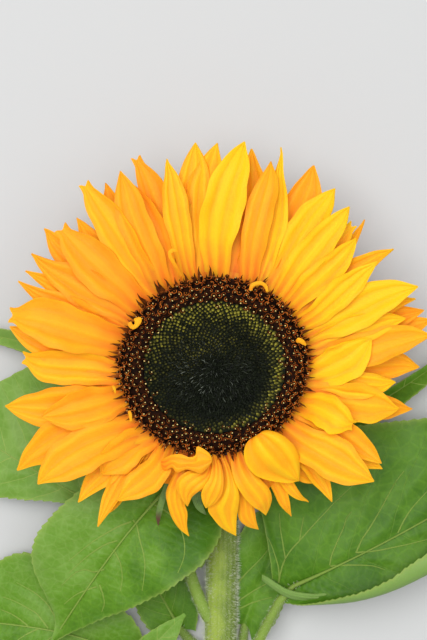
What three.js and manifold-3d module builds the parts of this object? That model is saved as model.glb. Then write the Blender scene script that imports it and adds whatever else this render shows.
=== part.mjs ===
// A cut sunflower lying on its back: the stem runs along the surface towards -Y, bends up at the
// neck and carries the bloom, which faces straight up. Millimetres, +Z up, resting on z = 0.
// Everything is laid out round the axis of the bloom (x = 0, y = 0), and the finished flower is
// then moved so that its origin is the centre of the bottom of its bounding box.
import * as THREE from "three";
import { mergeVertices } from "three/addons/utils/BufferGeometryUtils.js";
import Module from "manifold-3d";

// Driving dimensions.
const HEAD_Z = 42; // height of the ring that the petals grow from
const DISC_RADIUS = 34.2; // outside of the open disc florets
const BUD_RADIUS = 25.4; // outside of the closed buds in the middle
const DISC_SQUEEZE = 0.93; // the disc is that much shorter than it is wide
const RECEPTACLE_RADIUS = 33;
const STEM_RADIUS = 6.25;
const STEM_AXIS_Z = 5.95; // a little under the flat sides' distance, so that one of them lies flat
const NECK_RADIUS = 5.3;
const STEM_END_X = -5;
const STEM_END_Y = -250;
const CUT_SLOPE = 0.6; // the stem is cut on the slant: this far along per unit of height
const SEAT_GAP = 0.35; // between pieces that grow against each other
const PETAL_THICKNESS = 0.7;
const LEAF_THICKNESS = 0.8;
const BRACT_THICKNESS = 0.8;
const PETIOLE_RADIUS = 2.1;

const wasm = await Module();
wasm.setup();

// Small helpers shared by every piece.

const degrees = (angle) => (angle * Math.PI) / 180;
const mix = (a, b, share) => a + (b - a) * share;
const vector = (point) => new THREE.Vector3(...point);

// A repeatable draw between -1 and 1 for the thing with this number.
function draw(number, salt) {
  const wave = Math.sin(number * 12.9898 + salt * 78.233) * 43758.5453;
  return 2 * (wave - Math.floor(wave)) - 1;
}

// A point of the bloom: clockwise degrees from the top, radius, height.
function bloomPoint(angle, radius, z) {
  return new THREE.Vector3(radius * Math.sin(degrees(angle)), radius * Math.cos(degrees(angle)), z);
}

// A closed geometry as a solid, with its faces turned outwards.
function solidOf(geometry) {
  const bare = geometry.clone();
  bare.deleteAttribute("normal");
  bare.deleteAttribute("uv");
  const merged = mergeVertices(bare, 1e-4);
  const corners = merged.index.array;
  const kept = [];
  for (let i = 0; i < corners.length; i += 3) {
    const [a, b, c] = corners.slice(i, i + 3);
    if (a !== b && b !== c && a !== c) kept.push(a, b, c);
  }
  const build = (triangles) =>
    new wasm.Manifold(
      new wasm.Mesh({
        numProp: 3,
        vertProperties: new Float32Array(merged.attributes.position.array),
        triVerts: new Uint32Array(triangles),
      }),
    );
  const solid = build(kept);
  return solid.volume() > 0 ? solid : build(kept.reverse());
}

// A solid back as a geometry.
function geometryOf(solid) {
  const mesh = solid.getMesh();
  const positions = new Float32Array(mesh.numVert * 3);
  for (let i = 0; i < mesh.numVert; i++) {
    positions.set(mesh.vertProperties.subarray(i * mesh.numProp, i * mesh.numProp + 3), i * 3);
  }
  const geometry = new THREE.BufferGeometry();
  geometry.setAttribute("position", new THREE.BufferAttribute(positions, 3));
  geometry.setIndex(new THREE.BufferAttribute(new Uint32Array(mesh.triVerts), 1));
  geometry.computeVertexNormals();
  return geometry;
}

// The solid without the small sealed pockets that crossing blades can leave inside it.
function withoutPockets(solid) {
  return solid.decompose().reduce((best, piece) => (piece.volume() > best.volume() ? piece : best));
}

// A geometry from a list of points and a list of triangles.
function geometryFrom(points, triangles) {
  const geometry = new THREE.BufferGeometry().setFromPoints(points);
  geometry.setIndex(triangles);
  return geometry;
}

// A thin closed blade. surfaceAt(s, t) gives the middle of its thickness, with s from -1 to 1 across
// and t from 0 to 1 along. Both faces use the same triangles, so they never cross.
function bladeGeometry(columns, rows, surfaceAt, thickness) {
  const plane = new THREE.PlaneGeometry(2, 1, columns, rows);
  const grid = plane.attributes.position;
  const count = grid.count;
  const step = 1e-3;
  const top = [];
  const bottom = [];
  for (let i = 0; i < count; i++) {
    const s = grid.getX(i);
    const t = 0.5 - grid.getY(i);
    const across = surfaceAt(s + step, t).sub(surfaceAt(s - step, t));
    const along = surfaceAt(s, Math.min(1, t + step)).sub(surfaceAt(s, Math.max(0, t - step)));
    const offset = across.cross(along).normalize().multiplyScalar(thickness / 2);
    top.push(surfaceAt(s, t).add(offset));
    bottom.push(surfaceAt(s, t).sub(offset));
  }
  const face = Array.from(plane.index.array);
  const back = face.map((corner) => corner + count).reverse();
  const rim = [];
  for (let i = 0; i <= columns; i++) rim.push(i);
  for (let j = 1; j <= rows; j++) rim.push(j * (columns + 1) + columns);
  for (let i = columns - 1; i >= 0; i--) rim.push(rows * (columns + 1) + i);
  for (let j = rows - 1; j > 0; j--) rim.push(j * (columns + 1));
  const wall = rim.flatMap((a, i) => {
    const b = rim[(i + 1) % rim.length];
    return [a, b, a + count, b, b + count, a + count];
  });
  return geometryFrom([...top, ...bottom], [...face, ...back, ...wall]);
}

// A closed tube along a curve, with its own radius at each share of the length. A flat side faces
// the direction that is square to the curve and to level. Nothing of the tube goes below the
// surface that the flower lies on.
function tubeGeometry(curve, level, radiusAt, sides, steps) {
  const points = [];
  const triangles = [];
  for (let j = 0; j <= steps; j++) {
    const centre = curve.getPointAt(j / steps);
    const up = curve.getTangentAt(j / steps).cross(level).normalize();
    const side = curve.getTangentAt(j / steps).cross(up);
    for (let i = 0; i < sides; i++) {
      const turn = (2 * Math.PI * (i + 0.5)) / sides;
      const point = centre
        .clone()
        .addScaledVector(up, Math.cos(turn) * radiusAt(j / steps))
        .addScaledVector(side, Math.sin(turn) * radiusAt(j / steps));
      point.z = Math.max(0, point.z);
      points.push(point);
    }
  }
  for (let j = 0; j < steps; j++) {
    for (let i = 0; i < sides; i++) {
      const a = j * sides + i;
      const b = j * sides + ((i + 1) % sides);
      triangles.push(a, b, a + sides, b, b + sides, a + sides);
    }
  }
  for (let i = 1; i < sides - 1; i++) {
    triangles.push(0, i + 1, i);
    triangles.push(steps * sides, steps * sides + i, steps * sides + i + 1);
  }
  return geometryFrom(points, triangles);
}

// The stem: a straight part that lies on the surface, and the neck that bends up under the head.

const NECK_FOOT = [3, -22, STEM_AXIS_Z];
const NECK_TOP_Z = 23.5;
const NECK_FLARE = 4.2; // how much wider the neck is where it meets the head
const STEM_SIDES = 12;
const STEM_STEPS = 26;
const CUT_END = 5; // how much of the stem's end is sheared to slant the cut

function stemCurve() {
  const path = new THREE.CurvePath();
  path.add(
    new THREE.CubicBezierCurve3(
      vector([1, 1, NECK_TOP_Z]),
      vector([1, 1, 13]),
      vector([2.8, -10, STEM_AXIS_Z]),
      vector(NECK_FOOT),
    ),
  );
  path.add(
    new THREE.CubicBezierCurve3(
      vector(NECK_FOOT),
      vector([3.6, -90, STEM_AXIS_Z]),
      vector([1, -170, STEM_AXIS_Z]),
      vector([STEM_END_X, STEM_END_Y, STEM_AXIS_Z]),
    ),
  );
  const whole = new THREE.Curve();
  whole.getPoint = (t, target = new THREE.Vector3()) => target.copy(path.getPointAt(t));
  return whole;
}

// The neck flares into the head, is slimmest in the bend, and reaches full width on the stem.
function stemRadiusAt(share) {
  const flare = NECK_FLARE * Math.exp(-((share / 0.025) ** 2));
  const fullness = THREE.MathUtils.smoothstep(share, 0.03, 0.12);
  return mix(NECK_RADIUS, STEM_RADIUS, fullness) + flare;
}

function stemSolid(extra) {
  const curve = stemCurve();
  const radiusAt = (share) => stemRadiusAt(share) + extra;
  const level = new THREE.Vector3(1, 0, 0);
  const geometry = tubeGeometry(curve, level, radiusAt, STEM_SIDES, STEM_STEPS);
  const position = geometry.attributes.position;
  for (let i = 0; i < position.count; i++) {
    if (position.getY(i) < STEM_END_Y + CUT_END) {
      position.setY(i, position.getY(i) + CUT_SLOPE * position.getZ(i));
    }
  }
  return solidOf(geometry);
}

// Scars where the lower leaves were stripped off: flat knobs on alternate sides of the stem.
const SCAR_DEPTH = 0.9; // how far a knob's centre lies inside the stem
const SCARS = [
  { y: -168, side: 1 },
  { y: -196, side: -1 },
  { y: -226, side: 1 },
];

function scarSolid({ y, side }) {
  const knob = new THREE.SphereGeometry(1, 8, 6);
  knob.scale(2.2, 3.4, 2.8);
  const [x, foot] = NECK_FOOT;
  const axisX = mix(x, STEM_END_X, (y - foot) / (STEM_END_Y - foot));
  knob.translate(axisX + side * (STEM_RADIUS - SCAR_DEPTH), y, STEM_AXIS_Z + 1.2);
  return solidOf(knob);
}

function makeStem() {
  return SCARS.reduce((solid, scar) => solid.add(scarSolid(scar)), stemSolid(0));
}

// The head's green base: a shallow bowl with three rows of pointed bracts round it.

const BRACT_ROWS = [
  { count: 13, radius: 29, z: -4.0, reach: 50, tipZ: -6.0, width: 9, turn: 0 },
  { count: 13, radius: 26, z: -7.5, reach: 44, tipZ: -12, width: 9, turn: 14 },
  { count: 8, radius: 20, z: -12.5, reach: 35, tipZ: -17, width: 8, turn: 5 },
];

function bractGeometry(angle, row, number) {
  const reach = row.reach + 2.5 * draw(number, 1);
  const rib = new THREE.QuadraticBezierCurve3(
    bloomPoint(angle, row.radius - 3, HEAD_Z + row.z),
    bloomPoint(angle, mix(row.radius, reach, 0.55), HEAD_Z + row.z - 0.5),
    bloomPoint(angle + 3 * draw(number, 2), reach, HEAD_Z + row.tipZ),
  );
  const side = bloomPoint(angle + 90, 1, 0);
  const surfaceAt = (s, t) => {
    const half = (row.width / 2) * (1 - t) ** 0.7 + 0.3;
    return rib
      .getPoint(t)
      .addScaledVector(side, s * half)
      .add(new THREE.Vector3(0, 0, -0.12 * half * s * s));
  };
  return bladeGeometry(2, 2, surfaceAt, BRACT_THICKNESS);
}

function makeReceptacle() {
  // Radius, and height above HEAD_Z. The step near the rim is where the ring of petals sits.
  const profile = [
    [0, -18.2],
    [9.5, -18.2],
    [19, -15.5],
    [27, -10],
    [32, -4.5],
    [RECEPTACLE_RADIUS, -1.9],
    [28.9, -1.9],
    [28.9, 1.3],
    [0, 1.3],
  ];
  const bowl = new THREE.LatheGeometry(
    profile.map(([radius, z]) => new THREE.Vector2(radius, z)),
    28,
  );
  bowl.rotateX(Math.PI / 2);
  bowl.translate(0, 0, HEAD_Z);
  let solid = solidOf(bowl);
  BRACT_ROWS.forEach((row, rowNumber) => {
    for (let i = 0; i < row.count; i++) {
      const angle = row.turn + (360 * i) / row.count;
      solid = solid.add(solidOf(bractGeometry(angle, row, 20 * rowNumber + i)));
    }
  });
  return solid;
}

// The petals, or ray florets. Each row gives the directions of a petal's start, its middle and its
// tip in clockwise degrees from the top of the bloom, how far the tip reaches, the blade's width,
// and how blunt its tip is: about 1 for a long point and 3 for a round end.
// [start angle, middle angle, tip angle, reach, width, bluntness]
const PETALS = {
  under: [
    [20, 20, 20, 64, 14.5, 2.2], [41, 41, 41, 64, 14.5, 2.2], [62, 62, 62, 60, 13, 2.2],
    [97, 97, 97, 58, 13, 2.2], [116, 116, 116, 58, 13, 2.2], [157, 157, 157, 48, 14.5, 2.2],
    [185, 185, 185, 46, 13, 2.2], [206, 206, 206, 47, 14.5, 2.2], [235, 235, 235, 62, 14.5, 2.2],
    [262, 262, 262, 53, 14.5, 2.2], [289, 289, 289, 64, 14.5, 2.2],
    [318, 318, 318, 64, 14.5, 2.2], [350, 350, 350, 64, 14.5, 2.2],
  ],
  back: [
    [13, 12.5, 9.2, 80.5, 13, 2], [27, 21.7, 18.1, 80.3, 7.5, 1.8],
    [31, 29.1, 27.4, 81.6, 15.5, 2.4], [54, 51.5, 44.8, 76.1, 7.5, 1.2],
    [75, 74.6, 74.5, 78.7, 12.5, 2], [79, 79, 78.8, 81, 12.5, 2.2], [90, 90, 89.6, 74.8, 14, 2],
    [107, 105.3, 101, 74, 11, 2.2], [139, 139, 139, 57, 11, 2.4],
    [149, 148, 146.4, 60.9, 4.5, 2.2], [153, 152.7, 152.9, 62.5, 5, 2.2],
    [172, 167.4, 164.8, 60, 9, 2], [220, 218.2, 215.9, 68, 6, 2],
    [297, 297, 296.2, 77.4, 10, 1.2], [306, 306.8, 307.9, 80.3, 12.5, 2.2],
    [314, 315.5, 316.8, 74.1, 10, 2], [326, 327.4, 328.3, 77.9, 11, 2.2],
    [339, 339.8, 340.1, 81.7, 11, 2.6],
  ],
  middle: [
    [356, 356, 360.9, 80.3, 13, 2.4], [28, 24, 15.5, 81.6, 8, 1.1],
    [35.7, 33.8, 34.8, 77.6, 14, 2.2], [47.6, 45.6, 44.2, 72, 9.5, 3],
    [58, 54.8, 56.2, 77.7, 8.5, 1.8], [80, 75.7, 74.5, 71, 10.5, 2],
    [71, 70, 70.2, 76.5, 9.5, 1.8], [88, 83, 81.6, 79, 13, 2.2], [97, 96.6, 96.3, 66, 10.5, 2.2],
    [108, 105.2, 101.5, 68, 15, 2.2], [117, 117.3, 120, 69.1, 10.5, 2.2],
    [122.2, 122.2, 122.4, 70.7, 9.5, 2.2], [134, 135.8, 138.8, 64.4, 7, 2.4],
    [201, 194.5, 188.7, 61.7, 8.5, 1.9], [224, 220.1, 216.6, 71.6, 7, 1.8],
    [230, 227.4, 225.6, 69.3, 9.5, 2], [242.5, 245.4, 243.4, 81.5, 15, 1.8],
    [251, 254.5, 259.3, 77, 15, 2.4], [265.4, 269.3, 271.8, 70.2, 13, 2.8],
    [268, 275, 281, 75.5, 11.5, 2.4], [290, 291.3, 293.1, 77.9, 10.5, 1.2],
    [301.6, 301.4, 301.2, 77.9, 14, 1.3], [331.6, 335, 336, 73, 10.5, 2.4],
    [345, 350.9, 355.4, 80.9, 14, 2.4],
  ],
  front: [
    [1, 2.5, 7.9, 81.7, 15, 2.4], [22, 17, 15.7, 77.1, 10.5, 2.4],
    [42.5, 40.7, 40.2, 75, 11, 2.4], [51, 50, 47.3, 69, 10.5, 2], [64, 60.6, 56.5, 68.5, 10, 2],
    [70.5, 67.6, 68.5, 77.9, 14.5, 2], [97, 89.5, 79, 57, 14, 2.4],
    [131.5, 129, 125.3, 69.6, 15.5, 2.2], [165.4, 161.5, 161, 56.2, 12, 2.2],
    [177, 175.6, 172.5, 61, 12, 2.2], [211, 210.6, 216.8, 59, 11, 2.2],
    [220.6, 226.6, 227.7, 56.4, 13, 2.4], [229.7, 236.9, 235.9, 75.7, 16.5, 2.2],
    [251, 252.5, 253.2, 64, 14.5, 2.2], [282.8, 285, 283.6, 76.3, 16.5, 3],
    [308, 310.1, 312.1, 74.7, 15, 2.6], [322.2, 322.8, 324.6, 81.3, 12, 2.8],
    [326.3, 330.2, 334.9, 78.1, 12, 2.4], [344.2, 345.2, 348.3, 76.1, 9.5, 2.2],
  ],
  curled: [
    [114, 112, 113.7, 54, 12.5, 2.6], [147.3, 144.2, 143, 51, 16, 2.6],
    [179, 176.5, 183.7, 50.8, 6, 2.2], [194, 199, 191, 51, 6, 2], [181, 186.6, 190.8, 48, 5, 2],
  ],
};

// How each layer of petals rises and falls: heights above HEAD_Z at the start, a third of the way,
// two thirds of the way and at the tip.
const LAYER_HEIGHTS = {
  under: [-0.8, -0.4, -2.4, -5],
  back: [-0.7, 0.2, -1.5, -4.5],
  middle: [-0.6, 2.6, 3, 0.5],
  front: [-0.5, 4.6, 8.5, 5.5],
  curled: [-0.5, 4.6, 18, 4],
};
const LAYER_ROWS = { under: 2, back: 3, middle: 5, front: 5, curled: 6 }; // steps along a petal
const WIDEST_AT = 0.52; // how far along its length a petal is widest
const PETAL_START_RADIUS = 32.5;
const LONG_PETAL = 35; // how far a petal of full length reaches past its start

// A petal's width as a share of its widest: a narrower claw, a full middle and a pointed tip.
function petalWidthAt(t, bluntness) {
  if (t < WIDEST_AT) return mix(0.6, 1, THREE.MathUtils.smoothstep(t, 0, WIDEST_AT));
  return Math.max(0.04, 1 - ((t - WIDEST_AT) / (1 - WIDEST_AT)) ** bluntness);
}

function petalGeometry(petal, layer, number) {
  const [startAngle, middleAngle, tipAngle, reach, width, bluntness] = petal;
  const [start, rise, fall, tip] = LAYER_HEIGHTS[layer];
  const length = reach - PETAL_START_RADIUS;
  const shortness = Math.min(1, length / LONG_PETAL); // short petals rise less, clear of the disc
  const swing = 1.6 * draw(number, 3); // one petal stands a little higher than the next
  // The angle that pulls the curve through the petal's middle.
  const pull = 2 * middleAngle - (startAngle + tipAngle) / 2;
  const rib = new THREE.CubicBezierCurve3(
    bloomPoint(startAngle, PETAL_START_RADIUS, HEAD_Z + start),
    bloomPoint(
      mix(startAngle, pull, 0.67),
      PETAL_START_RADIUS + 0.33 * length,
      HEAD_Z + rise * shortness ** 2 + 0.5 * swing * shortness,
    ),
    bloomPoint(
      mix(tipAngle, pull, 0.67),
      PETAL_START_RADIUS + 0.68 * length,
      HEAD_Z + fall * shortness + swing * shortness,
    ),
    bloomPoint(tipAngle, reach, HEAD_Z + tip + 1.5 * swing),
  );
  const roll = degrees(9 * draw(number, 4)); // how far the blade leans to one side
  const surfaceAt = (s, t) => {
    const tangent = rib.getTangent(t);
    const side = new THREE.Vector3(0, 0, 1).cross(tangent).normalize();
    const normal = tangent.clone().cross(side);
    const half = (width / 2) * petalWidthAt(t, bluntness);
    const lean = roll * THREE.MathUtils.smoothstep(t, 0.1, 0.6);
    // The edges stand higher than the middle, except at the claw under the disc.
    const cup = 0.2 * half * s * s * THREE.MathUtils.smoothstep(t, 0.05, 0.3);
    return rib
      .getPoint(t)
      .addScaledVector(side, s * half * Math.cos(lean) - cup * Math.sin(lean))
      .addScaledVector(normal, s * half * Math.sin(lean) + cup * Math.cos(lean));
  };
  return bladeGeometry(2, LAYER_ROWS[layer], surfaceAt, PETAL_THICKNESS);
}

// The ring under the edge of the disc that every petal is rooted in.
function petalRingGeometry() {
  const section = [
    [29.3, -1.5],
    [33.8, -1.5],
    [33.8, 1.3],
    [29.3, 1.3],
    [29.3, -1.5],
  ];
  const ring = new THREE.LatheGeometry(
    section.map(([radius, z]) => new THREE.Vector2(radius, z)),
    36,
  );
  ring.rotateX(Math.PI / 2);
  ring.translate(0, 0, HEAD_Z);
  return ring;
}

function makePetals() {
  let solid = solidOf(petalRingGeometry());
  let number = 0;
  for (const [layer, petals] of Object.entries(PETALS)) {
    for (const petal of petals) {
      solid = solid.add(solidOf(petalGeometry(petal, layer, number)));
      number += 1;
    }
  }
  return solid;
}

// The disc. Its florets stand in crossing spirals, so its surface is a ring-shaped lattice on which
// every second point is a floret's tip and the points between them are the gaps.

const DISC_BASE_Z = 1.75; // the disc's underside, above HEAD_Z

// How high the disc stands at a radius: a low crown of open florets round a shallow bowl of buds.
function discHeightAt(radius) {
  const crown = 4.2 * Math.exp(-(((radius - 29) / 5.5) ** 2));
  const bowl = 3.2 + 1.1 * THREE.MathUtils.smoothstep(radius, 0, 20);
  const edge = 1 - THREE.MathUtils.smoothstep(radius, 29, 37);
  return mix(2.6, bowl + crown * 0.6, edge);
}

function discPoint(angle, radius, z) {
  const point = bloomPoint(angle, radius, z);
  point.y *= DISC_SQUEEZE;
  return point;
}

// tipAt(ring, radius) gives how far the tips in a ring stand up and out.
function discGeometry(radii, around, tipAt) {
  const points = [];
  const triangles = [];
  radii.forEach((radius, j) => {
    for (let i = 0; i < around; i++) {
      const isTip = (i + j) % 2 === 0;
      const { up, out } = isTip ? tipAt(j, radius) : { up: 0, out: 0 };
      const z = HEAD_Z + discHeightAt(radius) + up;
      points.push(discPoint((360 * i) / around, radius + out, z));
    }
  });
  const at = (i, j) => j * around + (i % around);
  for (let j = 0; j + 1 < radii.length; j++) {
    for (let i = 0; i < around; i++) {
      const [a, b, c, d] = [at(i, j), at(i + 1, j), at(i + 1, j + 1), at(i, j + 1)];
      // The cut runs between the two gaps, so that each tip is a small pyramid.
      if ((i + j) % 2 === 0) triangles.push(a, b, d, b, c, d);
      else triangles.push(a, b, c, a, c, d);
    }
  }
  return { points, triangles, at };
}

// Closes a disc lattice with an outer wall, a flat underside, and an inner wall or a middle point.
function closedDisc({ points, triangles, at }, radii, around, hasHole) {
  const last = radii.length - 1;
  const outer = points.length;
  for (let i = 0; i < around; i++) {
    points.push(discPoint((360 * i) / around, radii[0], HEAD_Z + DISC_BASE_Z));
  }
  for (let i = 0; i < around; i++) {
    const next = (i + 1) % around;
    triangles.push(at(i, 0), outer + i, at(next, 0), at(next, 0), outer + i, outer + next);
  }
  if (hasHole) {
    const inner = points.length;
    for (let i = 0; i < around; i++) {
      points.push(discPoint((360 * i) / around, radii[last], HEAD_Z + DISC_BASE_Z));
    }
    for (let i = 0; i < around; i++) {
      const next = (i + 1) % around;
      triangles.push(at(i, last), at(next, last), inner + i, at(next, last), inner + next, inner + i);
      triangles.push(outer + i, inner + i, outer + next, outer + next, inner + i, inner + next);
    }
  } else {
    points.push(new THREE.Vector3(0, 0, HEAD_Z + discHeightAt(0) + 0.4));
    points.push(new THREE.Vector3(0, 0, HEAD_Z + DISC_BASE_Z));
    const [top, under] = [points.length - 2, points.length - 1];
    for (let i = 0; i < around; i++) {
      const next = (i + 1) % around;
      triangles.push(at(i, last), at(next, last), top);
      triangles.push(outer + next, outer + i, under);
    }
  }
  return geometryFrom(points, triangles);
}

function makeDiscFlorets() {
  const around = 64;
  const radii = [DISC_RADIUS, 32.9, 31.1, 29.3, 27.5, BUD_RADIUS + SEAT_GAP];
  const tipAt = (ring) => (ring === 0 ? { up: 1.8, out: 1.2 } : { up: 2.4, out: 0.5 });
  const lattice = discGeometry(radii, around, (ring) =>
    ring === radii.length - 1 ? { up: 0, out: 0 } : tipAt(ring),
  );
  return solidOf(closedDisc(lattice, radii, around, true));
}

function makeDiscBuds() {
  const around = 42;
  const rings = 11;
  const shrink = Math.exp((-2 * Math.PI) / around); // keeps the lattice's cells square
  const radii = Array.from({ length: rings }, (_, ring) => BUD_RADIUS * shrink ** ring);
  const lattice = discGeometry(radii, around, (ring, radius) => ({
    up: ring === 0 ? 0 : 0.055 * radius,
    out: 0,
  }));
  return solidOf(closedDisc(lattice, radii, around, false));
}

// The leaves. A stalk leaves the stem at foot and bends through bow to the base of the blade. The
// midrib then runs from base towards arch, over to fall, and ends at tip. left and right are the
// half widths on either hand of someone walking from base to tip, at nine even steps, and lobe is
// how far the blade reaches back beside the stalk. Past a width of flat, the right half is rolled
// up. fold is the rise of the halves from the midrib.
const LEAVES = {
  leaf_left_front: {
    foot: [-2, -98, 8], bow: [-14, -78, 11], base: [-13, -42, 17.5],
    arch: [-33.6, -60.8, 31], fall: [-47.4, -82.6, 25], tip: [-62.5, -106.7, 10],
    left: [16, 26, 28.5, 26.5, 23, 18, 11.5, 5, 0.5],
    right: [12, 18.5, 22.5, 24.5, 26.5, 26.5, 21, 5.5, 0.5],
    lobe: 9, fold: 0.05, roll: 3, wave: 1.4,
  },
  leaf_right_big: {
    foot: [5, -134, 8], bow: [13, -112, 12], base: [26, -86, 15],
    arch: [46, -76, 24], fall: [88, -56, 25], tip: [132, -27, 8],
    left: [6, 38, 46.5, 48.5, 45, 39, 31, 18, 0.5],
    right: [5, 13.5, 21, 25.5, 29, 29, 24, 14, 0.5],
    flat: [1, 4, 8.5, 11.5, 12.5, 12.5, 11.5, 8, 4],
    lobe: 2, fold: -0.05, roll: -2, wave: 1.6,
  },
  leaf_left_upper: {
    foot: [-4, -77, 5], bow: [-22, -67, 5.5], base: [-40, -57, 8.5],
    arch: [-58, -47, 16], fall: [-80, -34, 14], tip: [-106, -20, 0],
    left: [4, 3, 4, 8, 13, 16.5, 15.5, 9.5, 0.5],
    right: [18, 34, 40, 40.5, 39.5, 39, 33.5, 17, 0.5],
    lobe: 8, fold: 0.05, roll: 0, wave: 1.2,
  },
  leaf_left_lower: {
    foot: [-4, -136, 6], bow: [-18, -128, 7], base: [-36, -113, 5],
    arch: [-54, -102, 8], fall: [-78, -101, 4], tip: [-104, -100, 0],
    left: [11, 21, 25.5, 26, 24, 20, 14.5, 8, 0.5],
    right: [8, 15, 16.5, 21, 26.5, 29, 24.5, 15, 0.5],
    lobe: 8, fold: 0.06, roll: 0, wave: 1.2,
  },
  leaf_right_low: {
    foot: [7, -116, 4], bow: [11.5, -109, 4], base: [11.5, -101, 4],
    arch: [17, -83, 5], fall: [30, -60, 5], tip: [44, -34, 0],
    left: [7, 13, 15.5, 16, 15, 12.5, 9, 5, 0.5],
    right: [5.5, 10.5, 11.5, 11.5, 11, 10, 8.3, 5, 0.5],
    lobe: 8, fold: 0.1, roll: 0, wave: 0.8,
  },
  leaf_left_low: {
    foot: [-5, -112, 3], bow: [-9, -109, 2.5], base: [-13, -104, 2.5],
    arch: [-20, -92, 2], fall: [-26, -82, 1.5], tip: [-32, -72, 0],
    left: [4.7, 9, 10.8, 11, 10.1, 8.5, 6.2, 3.4, 0.5],
    right: [5, 9.8, 11.7, 12, 11, 9.2, 6.7, 3.7, 0.5],
    lobe: 3, fold: 0.05, roll: 0, wave: 0.4,
  },
  leaf_left_top: {
    foot: [-3, -44, 6], bow: [-15, -26, 6], base: [-28, -12, 7],
    arch: [-46, 2, 13], fall: [-72, 9.5, 14], tip: [-103, 14, 0],
    left: [2, 3.6, 4, 4.2, 4, 3.6, 3, 2, 0.5],
    right: [2, 4.2, 4.8, 5, 4.8, 4.2, 3.2, 2, 0.5],
    lobe: 3, fold: 0.6, roll: 0, wave: 0.6,
  },
  leaf_right_top: {
    foot: [8, -48, 6], bow: [22, -34, 6], base: [34, -27, 7],
    arch: [52, -22, 13], fall: [74, -10, 14], tip: [104, 14, 0],
    left: [1.6, 2.6, 2.8, 2.8, 2.7, 2.5, 2, 1.4, 0.5],
    right: [2.6, 5, 6, 6, 5.4, 4.6, 3.4, 2, 0.5],
    lobe: 3, fold: 0.6, roll: 0, wave: 0.6,
  },
  leaf_left_small: {
    foot: [-4, -154, 8], bow: [-20, -152, 10], base: [-34, -138, 14],
    arch: [-38, -122, 20], fall: [-27, -108, 22], tip: [-11.3, -94.7, 17],
    left: [3.9, 7.7, 8.9, 8.9, 8.1, 6.7, 5, 2.9, 0.5],
    right: [5.6, 11.2, 12.9, 12.8, 11.6, 9.7, 7.2, 4.1, 0.5],
    lobe: 3, fold: 0.3, roll: 0, wave: 0.6,
  },
};
const CURL_RADIUS = 4.5; // of a leaf edge that is rolled up, past the leaf's flat width

// A smooth line through evenly spaced values, read at t from 0 to 1.
function lineThrough(values, t) {
  const last = values.length - 1;
  const i = Math.min(last - 1, Math.floor(t * last));
  const u = t * last - i;
  const [a, b, c, d] = [i - 1, i, i + 1, i + 2].map((n) => values[Math.min(last, Math.max(0, n))]);
  const bend = 2 * a - 5 * b + 4 * c - d + u * (3 * (b - c) + d - a);
  return Math.max(0.4, b + 0.5 * u * (c - a + u * bend));
}

// Across a leaf: how far out and how far up a point is, this far from the midrib.
function acrossLeaf(leaf, distance, isLeft, t) {
  const flat = isLeft || !leaf.flat ? Infinity : lineThrough(leaf.flat, t);
  const turn = Math.max(0, distance - flat) / CURL_RADIUS;
  const out = Math.min(distance, flat) + CURL_RADIUS * Math.sin(turn);
  return { out, up: CURL_RADIUS * (1 - Math.cos(turn)) + leaf.fold * out };
}

function leafGeometry(leaf, number) {
  const rib = new THREE.CubicBezierCurve3(
    vector(leaf.base),
    vector(leaf.arch),
    vector(leaf.fall),
    vector(leaf.tip),
  );
  const isLarge = Math.max(...leaf.left, ...leaf.right) > 20;
  const rows = isLarge ? 12 : 8;
  const columns = leaf.flat ? 8 : 4;
  const surfaceAt = (s, t) => {
    const tangent = rib.getTangent(t);
    const side = new THREE.Vector3(0, 0, 1).cross(tangent).normalize();
    const normal = tangent.clone().cross(side);
    const isTooth = Math.abs(s) > 0.99 && Math.round(t * rows) % 2 === 0;
    const isLeft = s > 0;
    const half = lineThrough(isLeft ? leaf.left : leaf.right, t);
    const distance = Math.abs(s) * half * (isTooth ? 1.04 : 0.97);
    const { out, up } = acrossLeaf(leaf, distance, isLeft, t);
    const x = isLeft ? out : -out;
    const ripple = Math.sin(9 * t + 3 * draw(number, 5) + (isLeft ? 2 : 0));
    const lift = up + leaf.wave * s * s * ripple;
    const lean = degrees(leaf.roll);
    const back = leaf.lobe * s * s * (1 - t) ** 4;
    const point = rib
      .getPoint(t)
      .addScaledVector(tangent, -back)
      .addScaledVector(side, x * Math.cos(lean) - lift * Math.sin(lean))
      .addScaledVector(normal, x * Math.sin(lean) + lift * Math.cos(lean));
    point.z = Math.max(LEAF_THICKNESS / 2, point.z); // it lies on the surface where it reaches it
    return point;
  };
  return bladeGeometry(columns, rows, surfaceAt, LEAF_THICKNESS);
}

function makeLeaf(leaf, number, stemClearance) {
  const stalkPath = new THREE.CubicBezierCurve3(
    vector(leaf.foot),
    vector(leaf.foot).lerp(vector(leaf.bow), 0.67),
    vector(leaf.base).lerp(vector(leaf.bow), 0.67),
    vector(leaf.base).lerp(vector(leaf.arch), 0.06),
  );
  const radiusAt = (share) => mix(PETIOLE_RADIUS * 1.25, PETIOLE_RADIUS * 0.8, share);
  const level = vector(leaf.base).sub(vector(leaf.foot)).cross(new THREE.Vector3(0, 0, 1));
  const stalk = solidOf(tubeGeometry(stalkPath, level, radiusAt, 6, 5));
  const blade = solidOf(leafGeometry(leaf, number));
  return blade.add(stalk).subtract(stemClearance);
}

// The finished flower.

const FINISHES = {
  stem: { color: 0x86a84a, roughness: 0.75, metalness: 0 },
  receptacle: { color: 0x5f8f3a, roughness: 0.75, metalness: 0 },
  petal: { color: 0xffb81f, roughness: 0.6, metalness: 0 },
  floret: { color: 0x4a1f12, roughness: 0.8, metalness: 0 },
  bud: { color: 0x252b16, roughness: 0.8, metalness: 0 },
  leaf: { color: 0x4f8f2c, roughness: 0.6, metalness: 0 },
};

function addPiece(group, name, solid, finish) {
  const material = new THREE.MeshStandardMaterial(FINISHES[finish]);
  const mesh = new THREE.Mesh(geometryOf(withoutPockets(solid)), material);
  mesh.name = name;
  group.add(mesh);
}

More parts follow.
